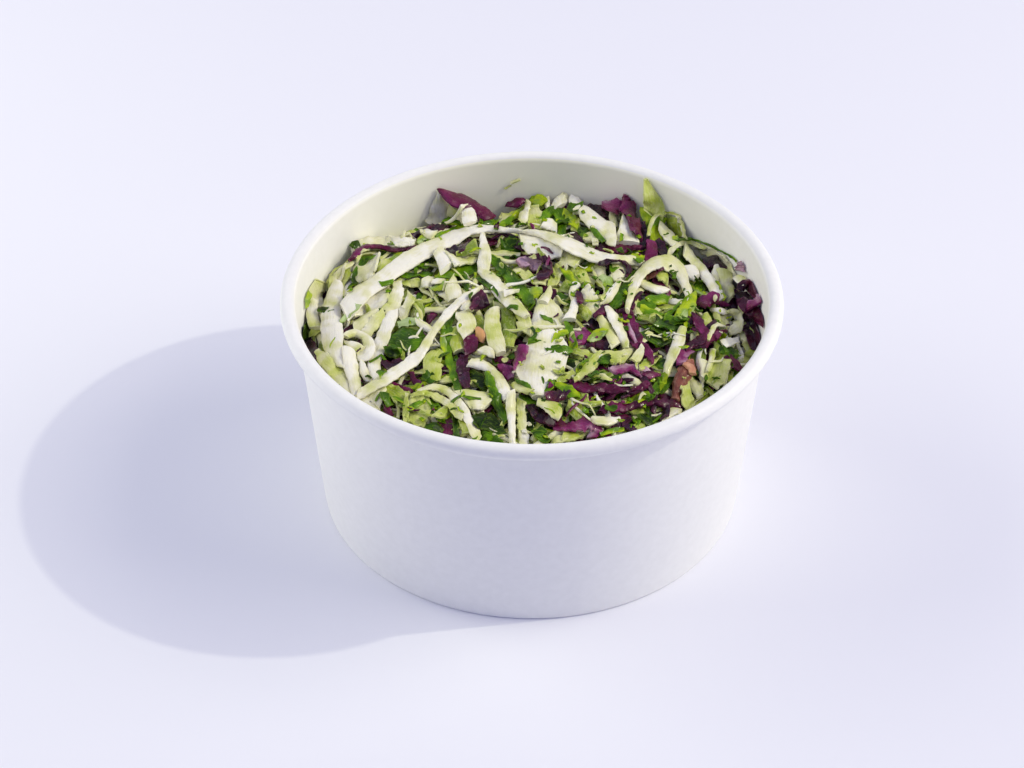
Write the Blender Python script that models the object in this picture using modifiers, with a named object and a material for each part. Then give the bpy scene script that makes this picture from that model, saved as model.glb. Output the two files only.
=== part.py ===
"""Cup of chopped salad: a round white paper tub with a rolled rim, filled with cabbage slaw.

Metres, +Z up, origin at the middle of the tub's foot, on the surface it stands on.
The tub is two pieces of paperboard: the sidewall, whose top is rolled outwards into a bead
and whose foot is folded in and up, and the base, a disc with a skirt that sits in that fold.
The salad is one heap: a core that fills the tub, with the shreds and leaves on top fused to it.
"""

import math
import random

import bmesh
import bpy
from mathutils import Matrix, Vector

MM = 0.001

# Driving dimensions of the tub.
RIM_RADIUS = 75.0 * MM
TUB_HEIGHT = 74.0 * MM
BEAD_DIAMETER = 4.6 * MM
FOOT_RADIUS = 64.5 * MM
BOARD = 0.6 * MM
FIT_GAP = 0.3 * MM
FOLD_HEIGHT = 6.5 * MM
BASE_LEVEL = 8.0 * MM
SKIRT_FOOT = 0.9 * MM
EDGE_ROUND = 0.3 * MM
TUB_STEPS = 64

# The bead is rolled from the sidewall, so its inner side is the wall's inner side.
BEAD_RADIUS = BEAD_DIAMETER / 2
BEAD_CENTRE_R = RIM_RADIUS - BEAD_RADIUS
BEAD_CENTRE_Z = TUB_HEIGHT - BEAD_RADIUS
BEAD_STEP_DEG = 18
BEAD_END_DEG = -144
WALL_TOP_R = BEAD_CENTRE_R - BEAD_RADIUS + BOARD
WALL_SLOPE = (WALL_TOP_R - FOOT_RADIUS) / BEAD_CENTRE_Z

# Driving dimensions of the heap of salad.
HEAP_TOP = 64.5 * MM
HEAP_EDGE = 58.5 * MM
HEAP_CLEARANCE = 0.5 * MM
HEAP_FLOOR = BASE_LEVEL + FIT_GAP
HEAP_STEPS = 40
HEAP_RINGS = 7
BUMP_HEIGHT = 0.7 * MM
BUMP_LENGTH = 13.0 * MM
SHRED_LIMIT_R = 67.8 * MM
STRIP_SPAN_STEPS = 2
CRINKLE = 0.5

# The largest pieces on the heap, placed by hand: kind, width, thickness, and the points its
# middle passes through, each (x, y, height over the heap), all in millimetres.
MAIN_SHREDS = (
    ("white", 3.6, 2.2, ((-58, 2, -1), (-50, 14, 2.3), (-34, 31, 3.7), (-18, 42, 3.5), (-4, 41, -1))),
    ("white", 7.0, 1.6, ((-5, 36, -0.6), (4, 35, 3.5), (13, 32, -0.4))),
    ("pale", 3.0, 1.6, ((-6, 42, 0.9), (8, 33, 4.1), (20, 28, 3.1), (31, 22, -1))),
    ("white", 9.5, 1.8, ((0, 4, -0.6), (4, -16, 3.3), (1, -36, -0.6))),
    ("pale", 2.8, 1.6, ((-14, 12, -1), (-24, -4, 3.5), (-34, -23, 3.3), (-50, -35, -1))),
    ("red", 2.6, 1.3, ((-56, 31, -0.5), (-49, 38, 3.5), (-42, 36, 3.1), (-36, 33, -0.5))),
    ("red", 5.0, 1.3, ((-28, 61, 7.3), (-20, 59, 4.1), (-11, 53, -0.5))),
    ("white", 6.0, 1.2, ((-34, 56, 4.6), (-30, 50, -0.8))),
    ("pale", 4.6, 1.3, ((35, 43, -1), (37, 51, 5.6), (36.5, 55.5, 11.4))),
    ("white", 6.5, 1.6, ((13, 58, 2.7), (20, 51, 3.3), (28, 42, -0.8))),
    ("red", 6.0, 1.2, ((21, 62, 2.7), (29, 56, 4.7), (33, 42, -0.8))),
    ("white", 2.8, 1.5, ((28, 1, -1), (31, 18, 3.5), (43, 29, 4.3), (48, 17, 3.3), (46, 7, -1))),
    ("green", 2.6, 1.2, ((42, 32, -0.8), (49, 39, 3.5), (57, 36, 3.1), (62, 28, -0.8))),
    ("pale", 3.6, 1.6, ((40, 46, 1.2), (48, 33, 3.3), (58, 13, -0.8))),
    ("red", 7.0, 1.4, ((61, 22, 1), (64, 12, 4.1), (63, -5, -0.8))),
    ("red", 3.0, 1.3, ((42, -17, -0.8), (50, -12, 3.1), (58, -6, -0.5))),
    ("red", 3.0, 1.4, ((10, -35, -0.8), (22, -37, 3.3), (34, -33, -0.8))),
    ("red", 3.6, 1.4, ((20, -43, -0.8), (31, -42, 3.3), (42, -37, -0.8))),
    ("red", 3.4, 1.4, ((0, -47, -0.6), (8, -52, 3.3), (20, -54, -0.6))),
    ("green", 2.8, 1.4, ((-26, -9, -0.8), (-24, -25, 3.3), (-22, -38, -0.8))),
    ("green", 9.0, 1.4, ((-41, -12, -0.6), (-36, -9, 3.5), (-29, -10, -0.6))),
    ("white", 3.6, 1.8, ((-38, 8, -0.8), (-43, -8, 3.3), (-46, -31, -0.8))),
    ("white", 6.0, 1.6, ((-59, 10, -0.6), (-60, -9, 3.1), (-56, -22, -0.6))),
    ("white", 4.2, 2.0, ((-56, -17, 0.6), (-54, -26, 3.3), (-51, -36, -0.8))),
    ("pale", 5.0, 1.2, ((-46, -35, -0.6), (-35, -43, 3.5), (-22, -45, 3.3), (-15, -57, -0.6))),
    ("pale", 3.0, 1.4, ((-6, -38, -0.6), (-7, -48, 3.3), (-6, -58, -0.4))),
    ("white", 3.0, 1.4, ((-2, -42, -0.6), (-2, -50, 3.1), (-2, -58, -0.4))),
    ("red", 4.0, 1.4, ((-17, -16, -0.6), (-20, -27, 3.1), (-19, -38, -0.6))),
    ("red", 5.0, 1.8, ((27, 0, -0.5), (31, -11, 2.8), (34, -22, -0.5))),
    ("pale", 3.0, 1.5, ((20, -3, -0.6), (25, -12, 3.1), (28, -22, -0.6))),
    ("white", 3.0, 1.6, ((45, -6, -0.6), (43, -16, 3.5), (41, -27, -0.6))),
    ("red", 4.5, 1.8, ((45, -23, -0.4), (43, -30, 2.9), (41, -38, -0.6))),
    ("green", 4.0, 1.1, ((-11, 24, -0.6), (-6, 15, 3.5), (-1, 5, -0.6))),
    ("pale", 3.4, 1.6, ((-17, 20, -0.6), (-9, 8, 3.7), (-2, -4, -0.6))),
    ("white", 3.6, 1.4, ((-15, 38, 0.6), (-15, 30, 4.1), (-14, 20, -0.6))),
    ("white", 5.5, 1.5, ((-32, 31, 0.8), (-28, 26, 3.3), (-24, 20, -0.6))),
    ("pale", 3.0, 1.4, ((-63, -16, -0.5), (-58, -25, 2.9), (-51, -33, -0.6))),
    ("pale", 4.5, 1.5, ((-11, 4, -0.6), (-9, -8, 3.5), (-9, -22, -0.6))),
    ("white", 4.0, 1.5, ((60, -10, -0.4), (58, -20, 3.1), (54, -30, -0.6))),
    ("white", 4.5, 1.4, ((-21, -40, -0.4), (-15, -42, 3.1), (-8, -42, -0.4))),
    ("green", 3.2, 1.2, ((-11, -30, -0.6), (-10, -39, 2.9), (-8, -49, -0.6))),
    ("pale", 5.0, 1.4, ((-40, 13, -0.6), (-45, 3, 3.3), (-50, -8, -0.6))),
)

# Chopped parsley: the larger leaves, each (x, y, radius) in millimetres.
MAIN_LEAVES = (
    (-8, 28, 5.5), (33, 8, 5.0), (38, -3, 6.0), (12, 46, 5.0), (-24, 22, 4.5), (17, 14, 5.0),
    (8, -42, 4.5), (52, -30, 5.0), (30, -50, 4.5), (-30, -20, 5.0), (52, 2, 4.5), (-60, 22, 4.0),
)
LEAF_THICKNESS = 0.8 * MM
LEAF_RISE = 1.6 * MM
LEAF_LOBES = 5
LEAF_NOTCH = 0.42

# Smaller shreds drawn at random between them.
FILL_SEED = 6
FILL_COUNT = 42
FILL_LENGTH = (13.0 * MM, 22.0 * MM)
FILL_WIDTH = (2.2 * MM, 4.0 * MM)
FILL_THICKNESS = 1.4 * MM
FILL_RISE = (1.8 * MM, 3.0 * MM)
FILL_TUCK = -0.7 * MM
FILL_DRAWS = 60
FILL_BOW = 0.2
FILL_STEPS = 4
SHARE_RED_LEFT = 0.12
SHARE_RED_RIGHT = 0.34
SHARE_GREEN = 0.16
SHARE_PALE = 0.25

# Colours: linear red, green, blue, with a roughness for each.
FINISHES = {
    "paper": ((0.86, 0.86, 0.87), 0.55),
    "white": ((0.78, 0.80, 0.62), 0.40),
    "pale": ((0.60, 0.68, 0.26), 0.40),
    "green": ((0.06, 0.20, 0.02), 0.45),
    "red": ((0.09, 0.008, 0.06), 0.35),
}
SALAD_KINDS = ("white", "pale", "green", "red")


def clear_scene():
    """Start from nothing, also when run from the text editor."""
    for thing in list(bpy.data.objects):
        bpy.data.objects.remove(thing, do_unlink=True)


def new_collection(name):
    collection = bpy.data.collections.new(name)
    bpy.context.scene.collection.children.link(collection)
    return collection


def finish(name):
    """The Principled material of one finish, made once."""
    if name in bpy.data.materials:
        return bpy.data.materials[name]
    colour, roughness = FINISHES[name]
    material = bpy.data.materials.new(name)
    material.use_nodes = True
    shader = material.node_tree.nodes["Principled BSDF"]
    shader.inputs["Base Color"].default_value = (*colour, 1.0)
    shader.inputs["Roughness"].default_value = roughness
    shader.inputs["Metallic"].default_value = 0.0
    material.diffuse_color = (*colour, 1.0)
    return material


def new_object(name, mesh, collection, finishes):
    thing = bpy.data.objects.new(name, mesh)
    collection.objects.link(thing)
    for each in finishes:
        mesh.materials.append(finish(each))
    return thing


def evaluated_mesh(thing):
    """The object's mesh with its modifiers applied."""
    graph = bpy.context.evaluated_depsgraph_get()
    return bpy.data.meshes.new_from_object(thing.evaluated_get(graph))


def turned(name, profile, steps, closed, collection, finishes):
    """A profile of (radius, height) points, down its outer side, turned about Z."""
    bm = bmesh.new()
    points = [bm.verts.new((radius, 0.0, height)) for radius, height in profile]
    for upper, lower in zip(points, points[1:]):
        bm.edges.new((upper, lower))
    if closed:
        bm.edges.new((points[-1], points[0]))
    mesh = bpy.data.meshes.new(name)
    bm.to_mesh(mesh)
    bm.free()
    thing = new_object(name, mesh, collection, finishes)
    screw = thing.modifiers.new("Turn", "SCREW")
    screw.axis = "Z"
    screw.angle = math.tau
    screw.steps = steps
    screw.render_steps = steps
    screw.use_merge_vertices = True
    screw.merge_threshold = 0.00001
    screw.use_smooth_shade = True
    return thing


def smooth(thing):
    thing.data.shade_smooth()
    thing.data.set_sharp_from_angle(angle=math.radians(35))


def wall_outer(height):
    return FOOT_RADIUS + WALL_SLOPE * height


def wall_inner(height):
    return wall_outer(height) - BOARD


def bead_arc():
    """The bead's round, from the wall's inner side over the top and back under to the wall."""
    points = []
    for degrees in range(180, BEAD_END_DEG - 1, -BEAD_STEP_DEG):
        angle = math.radians(degrees)
        radius = BEAD_CENTRE_R + BEAD_RADIUS * math.cos(angle)
        points.append((radius, BEAD_CENTRE_Z + BEAD_RADIUS * math.sin(angle)))
    return points


def tub_wall(collection):
    """The sidewall with its rolled bead, and its foot folded in round the base's skirt."""
    slot = 2 * FIT_GAP + BOARD
    fold_outer = FOOT_RADIUS - BOARD - slot
    fold_inner = fold_outer - BOARD
    rise = WALL_SLOPE * FOLD_HEIGHT
    profile = bead_arc()
    profile.append((wall_outer(EDGE_ROUND), EDGE_ROUND))
    profile.append((FOOT_RADIUS - EDGE_ROUND, 0.0))
    profile.append((fold_inner + EDGE_ROUND, 0.0))
    profile.append((fold_inner, EDGE_ROUND))
    profile.append((fold_inner + rise, FOLD_HEIGHT))
    profile.append((fold_outer + rise, FOLD_HEIGHT))
    profile.append((fold_outer + WALL_SLOPE * BOARD, BOARD))
    profile.append((wall_inner(BOARD), BOARD))
    return turned("tub_wall", profile, TUB_STEPS, True, collection, ["paper"])


def tub_base(collection):
    """The base: a disc set up inside the tub, with a skirt down into the sidewall's fold."""
    corner = 2 * EDGE_ROUND
    under = BASE_LEVEL - BOARD

    def outer(height):
        return wall_inner(height) - FIT_GAP

    def inner(height):
        return outer(height) - BOARD

    profile = [(0.0, BASE_LEVEL)]
    profile.append((outer(BASE_LEVEL) - corner, BASE_LEVEL))
    profile.append((outer(BASE_LEVEL - corner), BASE_LEVEL - corner))
    profile.append((outer(SKIRT_FOOT), SKIRT_FOOT))
    profile.append((inner(SKIRT_FOOT), SKIRT_FOOT))
    profile.append((inner(under), under))
    profile.append((0.0, under))
    return turned("tub_base", profile, TUB_STEPS, False, collection, ["paper"])


def heap_level(x, y):
    """Height of the heap: a low dome, highest in the middle, with soft bumps."""
    share = min(math.hypot(x, y) / wall_inner(HEAP_EDGE), 1.0)
    dome = HEAP_EDGE + (HEAP_TOP - HEAP_EDGE) * (1.0 - share * share)
    bumps = math.sin(x / BUMP_LENGTH * 2.1 + 0.8) * math.cos(y / BUMP_LENGTH * 1.7)
    return dome + BUMP_HEIGHT * bumps


def heap_core(collection):
    """The bulk of the salad, turned to fit the tub, its top then raised to the heap's form."""
    side = wall_inner(HEAP_EDGE) - HEAP_CLEARANCE
    profile = [(side * ring / HEAP_RINGS, HEAP_EDGE) for ring in range(HEAP_RINGS + 1)]
    profile.append((wall_inner(HEAP_FLOOR) - HEAP_CLEARANCE, HEAP_FLOOR))
    profile.append((0.0, HEAP_FLOOR))
    blank = turned("heap_blank", profile, HEAP_STEPS, False, collection, [])
    mesh = evaluated_mesh(blank)
    bpy.data.objects.remove(blank, do_unlink=True)
    for vertex in mesh.vertices:
        x, y, z = vertex.co
        if z > HEAP_EDGE - EDGE_ROUND:
            vertex.co.z = heap_level(x, y)
    mesh.materials.clear()
    return new_object("salad", mesh, collection, SALAD_KINDS)


def smooth_path(points, share):
    """A point on the smooth curve through the given points, at a share 0 to 1 of the way."""
    spans = len(points) - 1
    at = min(int(share * spans), spans - 1)
    local = share * spans - at
    before = points[max(at - 1, 0)]
    start, end = points[at], points[at + 1]
    after = points[min(at + 2, spans)]
    square, cube = local * local, local ** 3
    return (0.5 * ((2 * start) + (end - before) * local
            + (2 * before - 5 * start + 4 * end - after) * square
            + (3 * start - before - 3 * end + after) * cube))


def inside_tub(point, half_width):
    """The point, drawn in where a piece round it would meet the wall."""
    radius = math.hypot(point.x, point.y)
    limit = SHRED_LIMIT_R - half_width
    if radius > limit:
        point.x *= limit / radius
        point.y *= limit / radius
    return point


def strip(name, points, width, thickness, kind, crinkle, collection, steps):
    """A shred: a flat strip bent along a smooth path, narrower at its ends."""
    bm = bmesh.new()
    bmesh.ops.create_grid(bm, x_segments=steps, y_segments=1, size=0.5)
    for vertex in bm.verts:
        share, across = vertex.co.x + 0.5, vertex.co.y
        here = inside_tub(smooth_path(points, share), width / 2)
        ahead = inside_tub(smooth_path(points, min(share + 0.05, 1.0)), width / 2)
        behind = inside_tub(smooth_path(points, max(share - 0.05, 0.0)), width / 2)
        along = (ahead - behind).normalized()
        sideways = along.cross(Vector((0, 0, 1))).normalized()
        taper = 0.55 + 0.45 * math.sin(math.pi * share)
        wave = crinkle * width * math.sin(share * steps * 2.4) * across
        vertex.co = here + sideways * across * width * taper + Vector((0, 0, wave))
    return thickened(name, bm, thickness, kind, collection)


def leaf(name, middle, radius, turn, collection):
    """A chopped parsley leaf: a lobed outline, cupped and wavy."""
    bm = bmesh.new()
    bmesh.ops.create_circle(bm, cap_ends=True, segments=2 * LEAF_LOBES, radius=radius)
    bmesh.ops.poke(bm, faces=bm.faces[:])
    for vertex in bm.verts:
        reach = vertex.co.length
        angle = math.atan2(vertex.co.y, vertex.co.x)
        lobe = 1.0 - LEAF_NOTCH * (0.5 - 0.5 * math.cos(LEAF_LOBES * angle))
        vertex.co.z = 0.35 * reach * math.cos(LEAF_LOBES * angle + 1.0) - 0.2 * radius
        if reach < radius / 2:
            vertex.co.z = 0.15 * radius
        vertex.co.x *= lobe
        vertex.co.y *= lobe
    bmesh.ops.rotate(bm, verts=bm.verts, cent=(0, 0, 0), matrix=turn)
    bmesh.ops.translate(bm, verts=bm.verts, vec=middle)
    return thickened(name, bm, LEAF_THICKNESS, "green", collection)


def thickened(name, bm, thickness, kind, collection):
    """A sheet made a thin closed solid, both faces split into the same triangles."""
    bmesh.ops.triangulate(bm, faces=bm.faces)
    bmesh.ops.solidify(bm, geom=bm.faces[:], thickness=thickness)
    bmesh.ops.recalc_face_normals(bm, faces=bm.faces)
    for face in bm.faces:
        face.material_index = SALAD_KINDS.index(kind)
    mesh = bpy.data.meshes.new(name)
    bm.to_mesh(mesh)
    bm.free()
    return new_object(name, mesh, collection, SALAD_KINDS)


def on_heap(x, y, rise):
    """A point at a height over the heap."""
    return Vector((x, y, heap_level(x, y) + rise))


def lay_main_shreds(collection):
    for number, (kind, width, thickness, route) in enumerate(MAIN_SHREDS):
        points = [on_heap(x * MM, y * MM, rise * MM) for x, y, rise in route]
        steps = STRIP_SPAN_STEPS * (len(route) - 1) + 1
        crinkle = CRINKLE if kind == "red" else 0.0
        strip(f"main_{number}", points, width * MM, thickness * MM, kind, crinkle, collection, steps)


def lay_leaves(collection):
    for number, (x, y, radius) in enumerate(MAIN_LEAVES):
        turn = Matrix.Rotation(number * 2.4, 3, "Z") @ Matrix.Rotation(0.25, 3, "X")
        leaf(f"leaf_{number}", on_heap(x * MM, y * MM, LEAF_RISE), radius * MM, turn, collection)


def fill_kind(draw, x):
    """White cabbage mostly, with more red cabbage to the right."""
    share_red = SHARE_RED_RIGHT if x > 0 else SHARE_RED_LEFT
    pick = draw.random()
    if pick < share_red:
        return "red"
    if pick < share_red + SHARE_GREEN:
        return "green"
    return "white" if pick < 1.0 - SHARE_PALE else "pale"


def drawn_run(draw, width):
    """The middle of a shred drawn at random inside the tub, and half its run."""
    while True:
        radius = SHRED_LIMIT_R * math.sqrt(draw.random())
        middle = Vector((radius, 0)) @ Matrix.Rotation(draw.uniform(0, math.tau), 2)
        half = Vector((draw.uniform(*FILL_LENGTH) / 2, 0)) @ Matrix.Rotation(draw.uniform(0, math.tau), 2)
        if max((middle + half).length, (middle - half).length) < SHRED_LIMIT_R - width / 2:
            return middle, half


def lay_fill(collection):
    """Smaller shreds, spread evenly: each goes where, of several draws, there is the most room."""
    draw = random.Random(FILL_SEED)
    taken = [Vector((x, y)) * MM for *_, route in MAIN_SHREDS for x, y, _ in route]
    taken += [Vector((x, y)) * MM for x, y, _ in MAIN_LEAVES]
    for number in range(FILL_COUNT):
        width = draw.uniform(*FILL_WIDTH)
        runs = [drawn_run(draw, width) for _ in range(FILL_DRAWS)]
        middle, half = max(runs, key=lambda run: min((run[0] - other).length for other in taken))
        taken.append(middle)
        crown = middle + half.orthogonal() * draw.uniform(-FILL_BOW, FILL_BOW)
        points = [on_heap(*(middle - half), FILL_TUCK), on_heap(*crown, draw.uniform(*FILL_RISE)),
                  on_heap(*(middle + half), FILL_TUCK)]
        kind = fill_kind(draw, middle.x)
        strip(f"fill_{number}", points, width, FILL_THICKNESS, kind, 0.0, collection, FILL_STEPS)


def fuse(core, pieces):
    """Join every piece in the collection to the core, and keep the one body that results."""
    union = core.modifiers.new("Fuse", "BOOLEAN")
    union.operation = "UNION"
    union.operand_type = "COLLECTION"
    union.collection = pieces
    union.solver = "MANIFOLD"
    mesh = evaluated_mesh(core)
    core.modifiers.clear()
    core.data = mesh
    for piece in list(pieces.objects):
        bpy.data.objects.remove(piece, do_unlink=True)
    bpy.data.collections.remove(pieces)
    keep_largest_body(mesh)


def keep_largest_body(mesh):
    """Drop loose scraps, the walls of sealed hollows and flaps with no thickness."""
    bm = bmesh.new()
    bm.from_mesh(mesh)
    bmesh.ops.triangulate(bm, faces=bm.faces)
    drop_flaps(bm)
    unseen = set(bm.verts)
    bodies = []
    while unseen:
        body, edge_of_body = set(), [unseen.pop()]
        while edge_of_body:
            vertex = edge_of_body.pop()
            body.add(vertex)
            for edge in vertex.link_edges:
                other = edge.other_vert(vertex)
                if other in unseen:
                    unseen.remove(other)
                    edge_of_body.append(other)
        bodies.append(body)
    bodies.sort(key=len)
    for scrap in bodies[:-1]:
        bmesh.ops.delete(bm, geom=list(scrap), context="VERTS")
    bm.to_mesh(mesh)
    bm.free()


def drop_flaps(bm):
    """Remove each pair of faces that lie back to back on the same three corners."""
    by_corners = {}
    for face in bm.faces:
        corners = frozenset(vertex.index for vertex in face.verts)
        by_corners.setdefault(corners, []).append(face)
    flaps = [face for pair in by_corners.values() if len(pair) > 1 for face in pair]
    bmesh.ops.delete(bm, geom=flaps, context="FACES")


def salad(collection):
    """The heap: core, main shreds, leaves and fill, fused into one solid."""
    core = heap_core(collection)
    pieces = new_collection("salad_pieces")
    lay_main_shreds(pieces)
    lay_leaves(pieces)
    lay_fill(pieces)
    fuse(core, pieces)
    return core


def build():
    clear_scene()
    collection = new_collection("cup_of_chopped_salad")
    tub_wall(collection)
    tub_base(collection)
    heap = salad(collection)
    smooth(heap)


build()
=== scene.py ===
"""Cup of chopped salad: a white paper tub heaped with white and red cabbage and parsley.

The tub is turned from its section. The salad is laid as in the real one, each piece resting on
what is under it: beds of shreds at random, then every shred that the photograph shows, layer by
layer, then loose strands, clippings and crumbs. A height map keeps how high the pile stands.
"""

import math
import random

import bmesh
import bpy
import numpy as np
from mathutils import Matrix, Vector


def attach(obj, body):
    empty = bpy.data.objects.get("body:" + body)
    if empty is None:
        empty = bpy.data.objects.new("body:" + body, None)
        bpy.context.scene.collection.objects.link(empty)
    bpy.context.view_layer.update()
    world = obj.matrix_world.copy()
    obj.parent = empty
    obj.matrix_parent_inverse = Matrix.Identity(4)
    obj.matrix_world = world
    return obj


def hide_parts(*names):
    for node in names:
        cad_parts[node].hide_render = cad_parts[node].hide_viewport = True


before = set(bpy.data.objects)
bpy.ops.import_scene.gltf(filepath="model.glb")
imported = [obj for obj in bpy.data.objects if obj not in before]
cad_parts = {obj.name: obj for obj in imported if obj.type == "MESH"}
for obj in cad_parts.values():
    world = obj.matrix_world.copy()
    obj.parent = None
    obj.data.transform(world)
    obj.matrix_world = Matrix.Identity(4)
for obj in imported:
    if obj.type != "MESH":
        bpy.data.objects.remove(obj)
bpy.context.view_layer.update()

# Everything below is worked out in millimetres and made in metres.
MM = 0.001

# ---------------------------------------------------------------- camera
# The photograph's camera, fitted to the tub's rim and foot: its place in mm and its angle down.
IMAGE_WIDTH, IMAGE_HEIGHT = 1024, 768
LENS, SENSOR = 100.0, 36.0
FOCAL_PX = LENS / SENSOR * IMAGE_WIDTH
CAMERA_AT = np.array((-5.879, -679.41, 581.11))
CAMERA_PITCH = math.radians(38.643)
# Pixels of the photograph to a mm on the heap.
PX_PER_MM = 3.35

# ---------------------------------------------------------------- tub
RIM_RADIUS = 75.0
TUB_HEIGHT = 74.0
BEAD_RADIUS = 2.3
FOOT_RADIUS = 64.5
BOARD = 0.6
BEAD_CENTRE = (RIM_RADIUS - BEAD_RADIUS, TUB_HEIGHT - BEAD_RADIUS)
WALL_SLOPE = (BEAD_CENTRE[0] - BEAD_RADIUS + BOARD - FOOT_RADIUS) / BEAD_CENTRE[1]
FOLD_HEIGHT = 6.5
BASE_LEVEL = 8.0
FIT_GAP = 0.3
EDGE_ROUND = 0.3
SPIN_STEPS = 256
# How far the bead's edge is rolled in, and how far under the rim its neck starts and ends.
BEAD_LIP = 0.75
NECK_TOP, NECK_FOOT = 3.2, 5.4
# Height at which the wall starts to turn in at its foot, and the radius of that turn.
FOOT_TURN, FOOT_ROUND = 2.2, 0.9
BASE_ROUND, SKIRT_FOOT = 0.6, 0.9
# A disc's section starts a hair off the axis.
AXIS_GAP = 0.001
SEAM_AT = math.radians(-77.6)
SEAM_WIDTH = 8.0
SEAM_THICKNESS = 0.25
SEAM_LIFT = 0.01
SEAM_FOOT, SEAM_TOP = 1.6, TUB_HEIGHT - 6.0

# ---------------------------------------------------------------- heap
HEAP_EDGE = 61.0
HEAP_TOP = 66.5
HEAP_REACH = 69.0
# The pile starts CORE_DROP under the heap's surface, and the core reaches CORE_FILL into it.
CORE_DROP = 7.5
CORE_FILL = 0.2
CORE_RINGS, CORE_STEPS = 16, 96
# Hollows in the heap by the wall: x, y, depth, reach.
HOLLOWS = ((-18.0, 62.0, 6.0, 13.0), (52.0, -40.0, 5.0, 17.0), (62.0, 4.0, 2.5, 12.0))
WALL_GAP = 0.5
# Half the side of the pile's height map, its cell, and the step at which pieces are stamped on it.
MAP_REACH, MAP_STEP, STAMP_STEP = 72.0, 0.5, 0.4


def wall_outer(height):
    """Radius of the sidewall's outer face at a height."""
    return FOOT_RADIUS + WALL_SLOPE * height


def wall_inner(height):
    """Radius of its lining at a height."""
    return wall_outer(height) - BOARD


def heap_level(x, y):
    """Height of the finished heap: a low dome with hollows by the wall."""
    share = np.minimum(np.hypot(x, y) / HEAP_REACH, 1.0)
    level = HEAP_EDGE + (HEAP_TOP - HEAP_EDGE) * (1.0 - share * share)
    for at_x, at_y, depth, reach in HOLLOWS:
        away = ((x - at_x) ** 2 + (y - at_y) ** 2) / reach ** 2
        level = level - depth * np.exp(-away)
    return level


# ---------------------------------------------------------------- materials
NOISE, RAMP, MIX = "ShaderNodeTexNoise", "ShaderNodeValToRGB", "ShaderNodeMix"
MATH, VECTOR_MATH, SPREAD = "ShaderNodeMath", "ShaderNodeVectorMath", "ShaderNodeMapRange"
BUMP, MAPPING, ATTRIBUTE = "ShaderNodeBump", "ShaderNodeMapping", "ShaderNodeAttribute"


def colour(code):
    """A hex sRGB colour as linear red, green, blue and alpha."""
    parts = [int(code[i:i + 2], 16) / 255 for i in (1, 3, 5)]
    return [p / 12.92 if p <= 0.04045 else ((p + 0.055) / 1.055) ** 2.4 for p in parts] + [1.0]


def new_material(name):
    """A material, its node tree and its shader."""
    material = bpy.data.materials.new(name)
    material.use_nodes = True
    tree = material.node_tree
    return material, tree, tree.nodes["Principled BSDF"]


def fill(tree, node, inputs):
    """Set a node's inputs, or link those that are given a socket."""
    for name, value in inputs.items():
        if isinstance(value, bpy.types.NodeSocket):
            tree.links.new(value, node.inputs[name])
        else:
            node.inputs[name].default_value = value


def add(tree, kind, inputs, stops=(), **settings):
    """The outputs of a new node, its settings, inputs and (place, hex colour) stops filled in."""
    node = tree.nodes.new(kind)
    for name, value in settings.items():
        setattr(node, name, value)
    fill(tree, node, inputs)
    if stops:
        marks = node.color_ramp.elements
        while len(marks) < len(stops):
            marks.new(0.5)
        for mark, (place, code) in zip(marks, stops):
            mark.position = place
            mark.color = colour(code)
    return node.outputs


OUTSIDE_STOPS = ((0.3, "#EEEEEB"), (0.7, "#F2F2EF"))
LINING_STOPS = ((0.3, "#F7F6F2"), (0.7, "#FBFAF7"))
# Where the painted bounce light, a yellow tint for light bounced off the salad onto the lining, starts and
# is full, in mm towards the back.
BOUNCE_TINT_COLOUR, BOUNCE_TINT_START, BOUNCE_TINT_FULL = "#F8F7E2", 30.0, 72.0
# Sizes of the pulp's mottle and of the board's grain in mm, and depth of that grain. The real grain
# is finer, and is drawn coarse enough to show.
BOARD_MOTTLE, BOARD_GRAIN, GRAIN_DEPTH = 2.381, 0.6667, 0.05


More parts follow.
